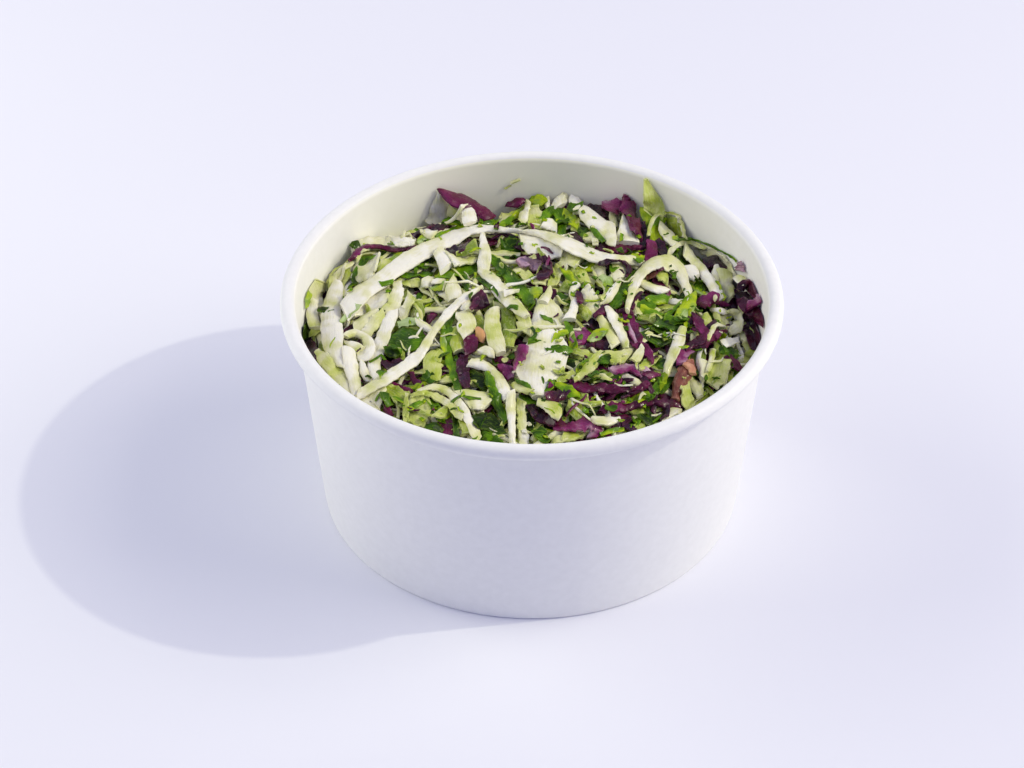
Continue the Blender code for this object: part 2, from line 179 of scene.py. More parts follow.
def paperboard():
    """White food board, calendered and thinly coated: even, smooth, with a low sheen.

    The pulp gives it a faint mottle. Its lining is a little creamier than its outside, and carries a
    painted yellow bounce light from the salad towards the back.
    """
    material, tree, shader = new_material("paperboard_pe_coated_white")
    where = add(tree, "ShaderNodeTexCoord", {})["Object"]
    place = add(tree, "ShaderNodeSeparateXYZ", {"Vector": where})
    mottle, grain = [
        add(tree, NOISE, {"Vector": where, "Scale": 1 / (size * MM), "Detail": detail})["Fac"]
        for size, detail in ((BOARD_MOTTLE, 4.0), (BOARD_GRAIN, 3.0))]
    outside = add(tree, RAMP, {"Fac": mottle}, OUTSIDE_STOPS)["Color"]
    untinted_lining = add(tree, RAMP, {"Fac": mottle}, LINING_STOPS)["Color"]
    # Painted bounce light: the lining is tinted a little yellow towards the back, for light bounced off the
    # salad.
    bounce_tint = add(tree, SPREAD, {"Value": place["Y"], "From Min": BOUNCE_TINT_START * MM,
                              "From Max": BOUNCE_TINT_FULL * MM})["Result"]
    lining = add(tree, MIX, {"Factor": bounce_tint, "A": untinted_lining, "B": colour(BOUNCE_TINT_COLOUR)},
                 data_type="RGBA")["Result"]
    # The lining is what lies nearer the axis than the middle of the board at its height.
    flat = add(tree, VECTOR_MATH, {0: where, 1: (1.0, 1.0, 0.0)}, operation="MULTIPLY")["Vector"]
    radius = add(tree, VECTOR_MATH, {0: flat}, operation="LENGTH")["Value"]
    slant = add(tree, MATH, {0: place["Z"], 1: WALL_SLOPE}, operation="MULTIPLY")[0]
    middle = add(tree, MATH, {0: slant, 1: (FOOT_RADIUS - BOARD / 2) * MM}, operation="ADD")[0]
    inside = add(tree, MATH, {0: radius, 1: middle}, operation="LESS_THAN")[0]
    base = add(tree, MIX, {"Factor": inside, "A": outside, "B": lining}, data_type="RGBA")["Result"]
    bump = add(tree, BUMP, {"Height": grain, "Strength": 0.08, "Distance": GRAIN_DEPTH * MM})["Normal"]
    fill(tree, shader, {"Base Color": base, "Normal": bump, "Roughness": 0.48,
                        "Specular IOR Level": 0.4})
    return material


# Sizes in mm of a leaf's patches of colour, pimples and wet spots, of its fibres and of the cells
# between its veins. Fibres and veins are drawn out along the shred by one over their stretch. Real
# fibres are finer, and are drawn coarse enough to show. A vein is where the web's noise comes
# within VEIN_WIDTH of its middle value.
LEAF_PATCH, LEAF_PIMPLE, LEAF_WET = 4.762, 1.613, 3.333
FIBRE_WIDTH, FIBRE_STRETCH = 0.6667, 0.14
VEIN_CELL, VEIN_STRETCH, VEIN_WIDTH = 1.818, 0.35, 0.035
# Shares of the fibres in the mottle, and of the pimples and the veins in the relief.
FIBRE_SHARE, PIMPLE_RISE, VEIN_RISE = 0.55, 0.8, 0.25


def cabbage(name, stops, cut, mottle, veins, relief, gloss, shine):
    """Shredded leaf, wet with dressing: fibres along the shred, veins, a paler cut edge."""
    material, tree, shader = new_material(name)
    where = add(tree, "ShaderNodeTexCoord", {})["Object"]
    patch, pimples, wet = [
        add(tree, NOISE, {"Vector": where, "Scale": 1 / (size * MM), "Detail": 3.0})["Fac"]
        for size in (LEAF_PATCH, LEAF_PIMPLE, LEAF_WET)]
    # The shred's own map runs in millimetres along it and across it.
    own = add(tree, "ShaderNodeUVMap", {}, uv_map="grain")["UV"]
    drawn = add(tree, MAPPING, {"Vector": own, "Scale": (FIBRE_STRETCH, 1.0, 1.0)})["Vector"]
    fibre = add(tree, NOISE, {"Vector": drawn, "Scale": 1 / FIBRE_WIDTH, "Detail": 3.0,
                              "Roughness": 0.65})["Fac"]
    drawn = add(tree, MAPPING, {"Vector": own, "Scale": (VEIN_STRETCH, 1.0, 1.0)})["Vector"]
    web = add(tree, NOISE, {"Vector": drawn, "Scale": 1 / VEIN_CELL, "Detail": 2.0,
                            "Roughness": 0.6})["Fac"]
    # The tint of each piece swings either way with the patches and the fibres.
    tint = add(tree, ATTRIBUTE, {}, attribute_name="tint")["Fac"]
    for source, share in ((patch, mottle), (fibre, FIBRE_SHARE * mottle)):
        swing = add(tree, MATH, {0: source, 1: 0.5}, operation="SUBTRACT")[0]
        swing = add(tree, MATH, {0: swing, 1: share}, operation="MULTIPLY")[0]
        tint = add(tree, MATH, {0: tint, 1: swing}, operation="ADD")[0]
    face = add(tree, RAMP, {"Fac": tint}, stops)["Color"]
    away = add(tree, MATH, {0: web, 1: 0.5}, operation="SUBTRACT")[0]
    away = add(tree, MATH, {0: away}, operation="ABSOLUTE")[0]
    vein = add(tree, SPREAD, {"Value": away, "From Min": 0.0, "From Max": VEIN_WIDTH, "To Min": 1.0,
                              "To Max": 0.0})["Result"]
    # The cut edge and the veins are paler.
    cut_colour, cut_share = cut
    edge = add(tree, ATTRIBUTE, {}, attribute_name="edge")["Fac"]
    edge = add(tree, MATH, {0: edge, 1: cut_share}, operation="MULTIPLY")[0]
    veined = add(tree, MATH, {0: vein, 1: veins}, operation="MULTIPLY")[0]
    pale = add(tree, MATH, {0: edge, 1: veined}, operation="MAXIMUM")[0]
    base = add(tree, MIX, {"Factor": pale, "A": face, "B": colour(cut_colour)}, data_type="RGBA")["Result"]
    height = fibre
    for source, rise in ((pimples, PIMPLE_RISE), (vein, VEIN_RISE)):
        risen = add(tree, MATH, {0: source, 1: rise}, operation="MULTIPLY")[0]
        height = add(tree, MATH, {0: height, 1: risen}, operation="ADD")[0]
    bump = add(tree, BUMP, {"Height": height, "Strength": 1.0, "Distance": relief * MM})["Normal"]
    rough = add(tree, SPREAD, {"Value": wet, "From Min": 0.35, "From Max": 0.65, "To Min": 0.30,
                               "To Max": 0.6})["Result"]
    fill(tree, shader, {"Base Color": base, "Normal": bump, "Roughness": rough,
                        "Subsurface Weight": 0.08, "Subsurface Radius": (1.0, 0.9, 0.4),
                        "Subsurface Scale": 1.0 * MM, "Coat Weight": gloss, "Coat Roughness": 0.12,
                        "Specular IOR Level": shine})
    return material


# Colours by tint, from cream through yellow-green, and from dark to pale.
WHITE_STOPS = ((0.0, "#F2EFDF"), (0.14, "#E8E5C4"), (0.28, "#DDDCA8"), (0.5, "#CACF78"),
               (0.75, "#ACBB3C"), (1.0, "#748A14"))
RED_STOPS = ((0.0, "#18020C"), (0.25, "#360116"), (0.5, "#5B0232"), (0.75, "#842460"),
             (1.0, "#C2A0B0"))
GREEN_STOPS = ((0.0, "#1A2C02"), (0.25, "#375C02"), (0.5, "#5F8A04"), (0.7, "#B4C61C"),
               (0.85, "#82A040"), (1.0, "#B6C88C"))
ODD_STOPS = ((0.0, "#6E3A30"), (0.4, "#A86654"), (0.7, "#C9906F"), (1.0, "#D9A75C"))
# Painted shade: near-black greens and purples for the core, standing for the shade deep in the gaps.
CORE_SHADE_STOPS = ((0.35, "#1B2408"), (0.5, "#2A1020"), (0.62, "#2E3A10"))
CORE_PATCH = 3.846

# For each kind: its material, colours by tint, the cut edge's colour and share, mottle, veins,
# relief in mm, gloss of the dressing and shine of the leaf.
FINISHES = {
    # Rib and inner leaf of white cabbage, sliced: cream, juicy, with fine fibres.
    "white": ("white_cabbage_shredded_wet", WHITE_STOPS, ("#EEEAD0", 0.5), 0.70, 0.2, 0.20, 0.25, 0.25),
    # Outer leaf of white cabbage, sliced: yellow-green, thin, with veins.
    "pale": ("green_cabbage_leaf_shredded_wet", WHITE_STOPS, ("#DDE0A8", 0.4), 0.65, 0.3, 0.26, 0.25, 0.25),
    # Red cabbage, sliced: dark purple skin that shines, a lighter cut edge.
    "red": ("red_cabbage_shredded_wet", RED_STOPS, ("#843C70", 0.25), 0.45, 0.2, 0.40, 0.42, 0.18),
    # Parsley and dill, chopped: deep to yellow green, nearly matt.
    "green": ("parsley_chopped_wet", GREEN_STOPS, ("#8CB028", 0.3), 0.55, 0.3, 0.25, 0.20, 0.10),
    # Carrot and ham, cut small: salmon to orange, moist.
    "odd": ("carrot_and_ham_scraps", ODD_STOPS, ("#D9A98A", 0.3), 0.6, 0.2, 0.20, 0.2, 0.25),
}


def painted_shade_core_material():
    """Painted shade: the greens and red cabbage packed under the shreds, painted near black for the shade
    deep in the gaps.
    """
    material, tree, shader = new_material("salad_core_painted_shade")
    where = add(tree, "ShaderNodeTexCoord", {})["Object"]
    patch = add(tree, NOISE, {"Vector": where, "Scale": 1 / (CORE_PATCH * MM), "Detail": 4.0})["Fac"]
    shade = add(tree, RAMP, {"Fac": patch}, CORE_SHADE_STOPS)["Color"]
    fill(tree, shader, {"Base Color": shade, "Roughness": 0.5})
    return material


# ---------------------------------------------------------------- tub pieces
def turned(profile, steps, closed):
    """A profile of (radius, height) points turned full circle about Z."""
    bm = bmesh.new()
    points = [bm.verts.new((radius * MM, 0.0, height * MM)) for radius, height in profile]
    following = points[1:] + points[:1] if closed else points[1:]
    edges = [bm.edges.new(pair) for pair in zip(points, following)]
    bmesh.ops.spin(bm, geom=points + edges, cent=(0, 0, 0), axis=(0, 0, 1), angle=math.tau,
                   steps=steps, use_merge=True)
    bmesh.ops.remove_doubles(bm, verts=bm.verts, dist=1e-7)
    bmesh.ops.recalc_face_normals(bm, faces=bm.faces)
    return bm


def as_piece(name, mesh, material, sharp_degrees):
    """The mesh made an object at the origin, smooth but for its sharp edges."""
    mesh.shade_smooth()
    mesh.set_sharp_from_angle(angle=math.radians(sharp_degrees))
    mesh.materials.append(material)
    piece = bpy.data.objects.new(name, mesh)
    bpy.context.scene.collection.objects.link(piece)
    return piece


def finished(name, bm, material, sharp_degrees=30):
    """What bmesh built, made a piece."""
    mesh = bpy.data.meshes.new(name)
    bm.to_mesh(mesh)
    bm.free()
    return as_piece(name, mesh, material, sharp_degrees)


def arc(centre, radius, start, end, step):
    """Points on a circle, from one angle to another, in degrees."""
    count = max(int(abs(end - start) / step), 1)
    angles = [math.radians(start + (end - start) * i / count) for i in range(count + 1)]
    return [(centre[0] + radius * math.cos(a), centre[1] + radius * math.sin(a)) for a in angles]


def tub_wall(material):
    """Sidewall: rolled bead on top, foot folded in round the base's skirt."""
    slot = 2 * FIT_GAP + BOARD
    fold_outer = FOOT_RADIUS - BOARD - slot
    fold_inner = fold_outer - BOARD
    rise = WALL_SLOPE * FOLD_HEIGHT
    profile = arc(BEAD_CENTRE, BEAD_RADIUS, 180, -132, 8)
    profile += arc(BEAD_CENTRE, BEAD_RADIUS - BEAD_LIP, -140, -160, 8)
    for height in (TUB_HEIGHT - NECK_TOP, TUB_HEIGHT - NECK_FOOT, FOOT_TURN):
        profile.append((wall_outer(height), height))
    profile += arc((FOOT_RADIUS - FOOT_ROUND, FOOT_ROUND), FOOT_ROUND, 5, -90, 19)
    profile.append((fold_inner + EDGE_ROUND, 0.0))
    profile.append((fold_inner, EDGE_ROUND))
    profile.append((fold_inner + rise, FOLD_HEIGHT))
    profile.append((fold_outer + rise, FOLD_HEIGHT))
    profile.append((fold_outer + WALL_SLOPE * BOARD, BOARD))
    profile.append((wall_inner(BOARD), BOARD))
    return finished("tub_wall_rolled_board", turned(profile, SPIN_STEPS, True), material)


def tub_base(material):
    """Base disc with its skirt turned down into the fold."""
    def outer(height):
        return wall_inner(height) - FIT_GAP

    under = BASE_LEVEL - BOARD
    skirt = outer(SKIRT_FOOT)
    profile = [(AXIS_GAP, BASE_LEVEL)]
    profile += arc((outer(BASE_LEVEL) - BASE_ROUND, BASE_LEVEL - BASE_ROUND), BASE_ROUND, 90, 0, 15)
    profile += [(skirt, SKIRT_FOOT), (skirt - BOARD, SKIRT_FOOT), (outer(under) - BOARD, under)]
    profile.append((AXIS_GAP, under))
    return finished("tub_base_disc", turned(profile, SPIN_STEPS, True), material)


def tub_seam(material):
    """The lap where the sidewall's two ends are sealed: a thin raised strip up the wall."""
    bm = bmesh.new()
    bmesh.ops.create_grid(bm, x_segments=8, y_segments=24, size=0.5)
    for vertex in bm.verts:
        height = SEAM_FOOT + (SEAM_TOP - SEAM_FOOT) * (vertex.co.y + 0.5)
        radius = wall_outer(height) + SEAM_LIFT
        angle = SEAM_AT + (vertex.co.x + 0.5) * SEAM_WIDTH / FOOT_RADIUS
        vertex.co = Vector((radius * math.cos(angle), radius * math.sin(angle), height)) * MM
    bmesh.ops.recalc_face_normals(bm, faces=bm.faces)
    bmesh.ops.solidify(bm, geom=bm.faces[:], thickness=-SEAM_THICKNESS * MM)
    bmesh.ops.recalc_face_normals(bm, faces=bm.faces)
    return finished("tub_side_seam", bm, material)


# ---------------------------------------------------------------- the pile's height map
# Shares of its width at which a strip feels what is under it.
FEELERS = (0.08, 0.3, 0.5, 0.7, 0.92)


class HeapMap:
    """How high the pile stands at each spot while shreds are laid on it."""

    def __init__(self):
        count = int(2 * MAP_REACH / MAP_STEP) + 1
        line = np.linspace(-MAP_REACH, MAP_REACH, count)
        x, y = np.meshgrid(line, line, indexing="ij")
        self.top = heap_level(x, y) - CORE_DROP

    def cell(self, spots):
        """The map's cells under places x, y."""
        ij = np.rint((spots + MAP_REACH) / MAP_STEP).astype(int)
        ij = np.clip(ij, 0, self.top.shape[0] - 1)
        return ij[..., 0], ij[..., 1]

    def read(self, spots):
        """Heights of the pile at places x, y."""
        return self.top[self.cell(spots)]

    def raise_to(self, spots, height):
        """Raise the pile to these heights where it is lower."""
        np.maximum.at(self.top, self.cell(spots), height)


def taut(under, rounds):
    """A string laid over heights and drawn tight between them."""
    line = under.copy()
    for _ in range(rounds):
        line[1:-1] = np.maximum(under[1:-1], 0.5 * (line[:-2] + line[2:]))
    return line


def between(left, right, shares):
    """Points across a strip, at shares 0 to 1 from its left edge to its right."""
    shares = np.asarray(shares)[None, :, None]
    return left[:, None, :] * (1 - shares) + right[:, None, :] * shares


def rest(pile, left, right, rounds, most_roll):
    """Heights of a strip's two edges as it lies on the pile, its roll kept small."""
    under = pile.read(between(left, right, FEELERS))
    low_left = taut(under[:, :2].mean(axis=1), rounds)
    low_right = taut(under[:, 3:].mean(axis=1), rounds)
    middle = taut(np.sort(under, axis=1)[:, -2:].mean(axis=1), rounds)
    roll = np.clip((low_left - low_right) / 2, -most_roll, most_roll)
    return middle + roll, middle - roll


def stamp(pile, left, right, heights_left, heights_right, thickness):
    """Raise the map to the strip's upper face."""
    length = np.hypot(*(np.diff((left + right) / 2, axis=0)).T).sum()
    wide = np.hypot(*(right - left).T).max()
    along = np.linspace(0, len(left) - 1, max(int(length / STAMP_STEP), 2))
    low = np.minimum(along.astype(int), len(left) - 2)
    part = (along - low)[:, None]
    ends = [values[low] * (1 - part) + values[low + 1] * part for values in
            (left, right, heights_left[:, None], heights_right[:, None])]
    shares = np.linspace(0.0, 1.0, max(int(wide / STAMP_STEP), 3))
    spots = between(ends[0], ends[1], shares)
    tops = between(ends[2], ends[3], shares)[..., 0]
    pile.raise_to(spots, tops + thickness)


# ---------------------------------------------------------------- strips as one joined mesh
# A strip's section over its upper face: across, -1 to 1, and up, 0 to 1. Its underside mirrors it.
RIB = ((-1.0, 0.20), (-0.86, 0.58), (-0.5, 0.90), (0.0, 1.0), (0.5, 0.88), (0.86, 0.54), (1.0, 0.18))
SLAB = ((-1.0, 0.62), (-0.92, 0.95), (-0.5, 0.86), (0.0, 1.0), (0.5, 0.84), (0.92, 0.97), (1.0, 0.60))
PLAIN = ((-1.0, 0.50), (-0.55, 1.0), (0.55, 1.0), (1.0, 0.50))

# For each kind: section, thickness, ragged edge, crinkle (all mm), twist, cup, tint drift and
# rounds of tautness.
STYLES = {
    "white": (RIB, 1.40, 0.16, 0.16, 0.18, 0.24, 0.28, 26),
    "strand": (PLAIN, 0.75, 0.08, 0.22, 0.20, 0.10, 0.22, 8),
    "pale": (SLAB, 0.70, 0.36, 0.34, 0.40, 0.30, 0.30, 14),
    "red": (SLAB, 0.85, 0.46, 0.50, 0.45, 0.30, 0.22, 16),
    "green": (SLAB, 0.38, 0.32, 0.26, 0.40, 0.30, 0.20, 6),
    "odd": (RIB, 1.80, 0.36, 0.14, 0.20, 0.14, 0.25, 10),
}
# Wavelengths of what wanders along a strip, in mm, and the share of each.
WANDER = ((7.3, 0.5), (2.9, 0.3), (1.25, 0.2))
# Strips wider to each side than CALM_HALF mm lie calmer. None cups or twists more than one of CURL_HALF.
CALM_HALF, CURL_HALF = 4.0, 2.2
# How far the ends are cut askew, as a share of the width, and how much the thickness wanders.
ASKEW, THICK_DRIFT = 0.9, 0.16
# The paler cut edge starts at this share of the way out, and is full this much further.
CUT_START, CUT_FADE = 0.90, 0.08


def wander(draw, run, stretch=1.0):
    """A smooth uneven line along a run of mm, about -1 to 1."""
    total = np.zeros(len(run))
    for wavelength, share in WANDER:
        total += share * np.sin(run * math.tau / (wavelength * stretch) + draw.uniform(0, math.tau))
    return total


def run_of(middle):
    """Distance along a line at each of its points."""
    return np.concatenate(([0.0], np.cumsum(np.linalg.norm(np.diff(middle, axis=0), axis=1))))


class Pieces:
    """Many strips or leaves of one kind, gathered as arrays and made one mesh."""

    def __init__(self):
        self.points, self.tints, self.edges, self.grains = [], [], [], []
        self.corners, self.sizes = [], []
        self.count = 0

    def take(self, points, tints, edges, grains, faces):
        """Add one closed piece, kept off the tub's wall: its points and a list of arrays of faces."""
        inside = keep_inside(points[:, :2], points[:, 2])
        self.points.append(with_height(inside, points[:, 2]))
        self.tints.append(tints)
        self.edges.append(edges)
        self.grains.append(grains)
        for block in faces:
            self.corners.append(block.ravel() + self.count)
            self.sizes.append(np.full(len(block), block.shape[1]))
        self.count += len(points)

    def strip(self, draw, left, right, thickness, kind, tint, plain=False, calm=1.0):
        """A strip between two edge lines in space, thick along its own normal."""
        section, _, ragged, _, twist, cup, drift, _ = STYLES[kind]
        top = np.array(PLAIN if plain else section)
        u = np.concatenate((top[:, 0], top[::-1, 0]))
        v = np.concatenate((top[:, 1], -top[::-1, 1]))
        ring = len(u)
        steps = len(left)
        middle = (left + right) / 2
        run = run_of(middle)
        half = (right - left) / 2
        wide = np.linalg.norm(half, axis=1)
        along = np.gradient(middle, axis=0)
        along /= np.maximum(np.linalg.norm(along, axis=1), 1e-9)[:, None]
        normal = np.cross(half, along)
        normal /= np.maximum(np.linalg.norm(normal, axis=1), 1e-9)[:, None]
        normal *= np.where(normal[:, 2:] < 0, -1.0, 1.0)
        # Each edge wanders on its own, and the ends are cut askew.
        calm = calm * min(1.0, CALM_HALF / max(wide.max(), 0.1))
        rough = calm * np.minimum(ragged * (1 + 0.12 * wide.max()), 0.35 * wide)
        on_left, on_right = ((rough * wander(draw, run))[:, None] for _ in range(2))
        outward = np.where(u[None, :] < 0, on_left, on_right) / np.maximum(wide, 0.2)[:, None]
        spread = u[None, :] * (1 + outward)
        thick = thickness * (1 + THICK_DRIFT * wander(draw, run))
        curl = np.minimum(wide, CURL_HALF)[:, None]
        lift = v[None, :] * thick[:, None] / 2
        lift = lift + draw.uniform(-0.5, 1.0) * cup * (1 - u * u)[None, :] * curl
        lift = lift + (calm * twist * wander(draw, run, 1.5))[:, None] * u[None, :] * curl
        reach = np.maximum(wide, 0.4)
        askew = draw.uniform(-ASKEW, ASKEW) * np.exp(-run / reach)
        askew = askew + draw.uniform(-ASKEW, ASKEW) * np.exp(-(run[-1] - run) / reach)
        shift = askew[:, None] * u[None, :] * wide[:, None]
        points = middle[:, None, :] + half[:, None, :] * spread[..., None]
        points = points + normal[:, None, :] * lift[..., None] + along[:, None, :] * shift[..., None]
        # Each piece takes its own part of the grain.
        grain = np.stack(np.broadcast_arrays(run[:, None], u[None, :] * wide[:, None]), axis=-1)
        grain = grain + np.array((self.count * 0.37 % 97, self.count * 0.61 % 89))
        i, j = np.meshgrid(np.arange(steps - 1), np.arange(ring), indexing="ij")
        beside = (j + 1) % ring
        here, following = i * ring, (i + 1) * ring
        quads = np.stack((here + j, here + beside, following + beside, following + j), axis=-1)
        first = np.arange(ring)[None, ::-1]
        last = ((steps - 1) * ring + np.arange(ring))[None, :]
        faces = [quads.reshape(-1, 4), first, last]
        at = steps // 2
        facing = np.cross(points[at, 1] - points[at, 0], points[at + 1, 0] - points[at, 0])
        if np.dot(facing, points[at, 0] - middle[at]) < 0:
            faces = [block[:, ::-1] for block in faces]
        along_tint = drift * wander(draw, run, 4.0)[:, None]
        tints = tint + calm * (along_tint + draw.uniform(-0.2, 0.2) * u[None, :])
        edges = np.tile(np.clip((np.abs(u) - CUT_START) / CUT_FADE, 0, 1), (steps, 1))
        edges[0] = edges[-1] = 1.0
        self.take(points.reshape(-1, 3), tints.ravel(), edges.ravel(), grain.reshape(-1, 2), faces)

    def make(self, name, material):
        """One mesh of all that was gathered."""
        points = np.concatenate(self.points) * MM
        corners = np.concatenate(self.corners).astype(np.int32)
        sizes = np.concatenate(self.sizes).astype(np.int32)
        starts = np.concatenate(([0], np.cumsum(sizes)[:-1])).astype(np.int32)
        mesh = bpy.data.meshes.new(name)
        mesh.vertices.add(len(points))
        mesh.loops.add(len(corners))
        mesh.polygons.add(len(sizes))
        mesh.vertices.foreach_set("co", points.astype(np.float32).ravel())
        mesh.loops.foreach_set("vertex_index", corners)
        mesh.polygons.foreach_set("loop_start", starts)
        mesh.update(calc_edges=True)
        for label, values in (("tint", self.tints), ("edge", self.edges)):
            layer = mesh.attributes.new(label, "FLOAT", "POINT")
            layer.data.foreach_set("value", np.concatenate(values).astype(np.float32))
        grain = mesh.uv_layers.new(name="grain")
        grain.data.foreach_set("uv", np.concatenate(self.grains)[corners].astype(np.float32).ravel())
        return as_piece(name, mesh, material, 38)


def keep_inside(spots, heights):
    """Draw in what would meet the tub's wall."""
    reach = np.hypot(spots[:, 0], spots[:, 1])
    limit = wall_inner(heights) - WALL_GAP
    return spots * np.minimum(1.0, limit / np.maximum(reach, 1e-6))[:, None]


def with_height(spots, heights):
    """Places x, y and their heights as points in space."""
    return np.column_stack((spots, heights))


def sideways(line):
    """Unit vectors to the right of a flat line, at each of its points."""
    ahead = np.gradient(line, axis=0)
    ahead /= np.maximum(np.linalg.norm(ahead, axis=1), 1e-6)[:, None]
    return np.column_stack((ahead[:, 1], -ahead[:, 0]))


def polar(radius, angle):
    """Place at a radius and an angle round the tub's middle."""
    return np.array((math.cos(angle), math.sin(angle))) * radius


def lay(pile, pieces, draw, edges, heights, thickness, kind, tint, plain=False, calm=1.0):
    """Lay a strip with its two edges at these places and heights, and raise the pile by it."""
    left, right = [keep_inside(edge, height) for edge, height in zip(edges, heights)]
    low, high = heights
    pieces.strip(draw, with_height(left, low), with_height(right, high), thickness, kind, tint,
                 plain, calm)
    stamp(pile, left, right, low, high, thickness / 2)


# ---------------------------------------------------------------- shreds under the top layer
# For each kind: share on the left, share on the right, width, length, tint.
KINDS = {
    "white": (0.26, 0.14, (1.2, 3.4), (12.0, 36.0), (0.05, 0.55)),
    "strand": (0.20, 0.14, (0.6, 1.5), (9.0, 32.0), (0.10, 0.80)),
    "pale": (0.22, 0.22, (1.2, 3.6), (9.0, 28.0), (0.35, 1.0)),
    "red": (0.10, 0.24, (1.0, 2.8), (9.0, 30.0), (0.0, 0.60)),
    "green": (0.22, 0.26, (0.7, 2.6), (5.0, 18.0), (0.0, 0.75)),
}
# Half of the stretch, left to right, over which the left's shares turn into the right's.
MIX_REACH = 40.0
# These shreds lie within BED_REACH of the middle and about BED_LEVEL high. Beyond BED_WALL from the
# middle they follow the wall.
BED_REACH, BED_WALL, BED_LEVEL = 67.5, 52.0, 56.0
# Length of a shred between two of its sections, and its greatest bow, less on one over BOW_LENGTH.
BED_STEP = 1.2
BED_BOW, BOW_LENGTH = 0.9, 18.0
# Each is given a place from left to right, within SIDE_REACH, and lies within SIDE_SLACK of it.
SIDE_REACH, SIDE_SLACK = 60, 22
# They are more crinkled than the pieces seen.
BED_CRINKLE = 1.6
# A shred settles this much into what is under it.
SINK = 0.3
# Greatest roll of a strip to one side, as a share of its width: in a bed, one seen, one loose.
BED_ROLL, SEEN_ROLL, LOOSE_ROLL = 0.40, 0.35, 0.5
# Greatest thickness as a share of the width, and the same of a loose clipping.
MOST_THICK, LOOSE_THICK = 0.6, 0.5


def pick_kind(draw, x):
    """A kind drawn by its share at a place from left to right."""
    lean = min(max((x + MIX_REACH) / (2 * MIX_REACH), 0.0), 1.0)
    pick = draw.random()
    for kind, (left, right, *_) in KINDS.items():
        pick -= left * (1 - lean) + right * lean
        if pick < 0:
            return kind
    return "white"


def random_run(draw, width, length):
    """Edge lines of a shred drawn at random, bowed, and bent to follow a near wall."""
    reach = BED_REACH * math.sqrt(draw.random())
    round_at = draw.uniform(0, math.tau)
    heading = draw.uniform(0, math.tau)
    if reach > BED_WALL:
        heading = round_at + math.pi / 2 + draw.uniform(-0.45, 0.45)
    steps = max(int(length / BED_STEP), 8)
    share = np.linspace(-0.5, 0.5, steps)
    bow = draw.uniform(-1.0, 1.0) * BED_BOW / max(length / BOW_LENGTH, 1.0)
    turn = heading + bow * share * 2 + 0.25 * np.sin(share * 9 + draw.uniform(0, 6))
    step = length / steps
    line = np.cumsum(np.column_stack((np.cos(turn), np.sin(turn))) * step, axis=0)
    line += polar(reach, round_at) - line.mean(axis=0)
    distance = np.hypot(*line.T)
    limit = wall_inner(BED_LEVEL) - WALL_GAP - width / 2
    line *= np.minimum(1.0, limit / np.maximum(distance, 1e-6))[:, None]
    blunt = draw.uniform(0.15, 0.9)
    taper = 0.55 + 0.45 * np.sin(np.linspace(blunt, math.pi - draw.uniform(0.15, 0.9), steps))
    half = (width / 2 * taper)[:, None] * sideways(line)
    return line - half, line + half


def lay_random(pile, gathered, draw, count, below, tries, plain=False):
    """Lay shreds where the pile is lowest, up to a level under the finished heap."""
    for _ in range(count):
        spot = draw.uniform(-SIDE_REACH, SIDE_REACH)
        kind = pick_kind(draw, spot)
        _, _, widths, lengths, tints = KINDS[kind]
        _, thickness, _, crinkle, _, _, _, rounds = STYLES[kind]
        width = draw.uniform(*widths)
        length = draw.uniform(*lengths)
        thickness = min(thickness * draw.uniform(0.75, 1.25), MOST_THICK * width)
        best = None
        for _ in range(tries):
            left, right = random_run(draw, width, length)
            if abs((left + right)[:, 0].mean() / 2 - spot) > SIDE_SLACK:
                continue
            low, high = rest(pile, left, right, rounds, BED_ROLL * width)
            middle = (low + high) / 2
            rise = (middle - heap_level(*((left + right) / 2).T)).mean() + 0.15 * np.ptp(middle)
            if best is None or rise < best[0]:
                best = (rise, left, right, low, high)
        if best is None:
            continue
        rise, left, right, low, high = best
        if rise > -below:
            continue
        run = run_of((left + right) / 2)
        low = low - SINK + thickness / 2 + BED_CRINKLE * crinkle * wander(draw, run)
        high = high - SINK + thickness / 2 + BED_CRINKLE * crinkle * wander(draw, run)
        lay(pile, gathered[kind], draw, (left, right), (low, high), thickness, kind,
            draw.uniform(*tints), plain)


# ---------------------------------------------------------------- pieces placed from the photograph
CAMERA_UP = np.array((0.0, math.sin(CAMERA_PITCH), math.cos(CAMERA_PITCH)))
CAMERA_AHEAD = np.array((0.0, math.cos(CAMERA_PITCH), -math.sin(CAMERA_PITCH)))

# Lowest level from which a piece can lean on the wall.
LEAST_LEAN = 50.0
# Layers of the pieces seen. Each may lie this much higher than the last, over a first slack.
LAYERS = 5
LAYER_RISE, TOP_SLACK = 0.9, 0.8
# Level at which a line of sight is first tried.
FIRST_LEVEL = 65.0
# Pixels between two sections of a strip, and the most sections.
STATION_PX, MOST_STATIONS = 1.9, 70
# A piece that stands wanders less than one that lies, by this share.
STANDING_CALM = 0.3
# A shred broader than BROAD_FROM is cut thicker by a share for each mm, up to BROAD_MOST of them.
BROAD_FROM, BROAD_MOST, BROAD_SHARE = 2.5, 4.0, 0.14


def rays(pixels):
    """Directions from the camera through pixels of the photograph."""
    across = (pixels[:, 0] - IMAGE_WIDTH / 2) / FOCAL_PX
    up = (IMAGE_HEIGHT / 2 - pixels[:, 1]) / FOCAL_PX
    return across[:, None] * np.array((1.0, 0, 0)) + up[:, None] * CAMERA_UP + CAMERA_AHEAD


def seen_at(pixels, heights):
    """Where the line of sight through each pixel is at a height: x and y."""
    way = rays(pixels)
    reach = (heights - CAMERA_AT[2]) / way[:, 2]
    return CAMERA_AT[:2] + way[:, :2] * reach[:, None]


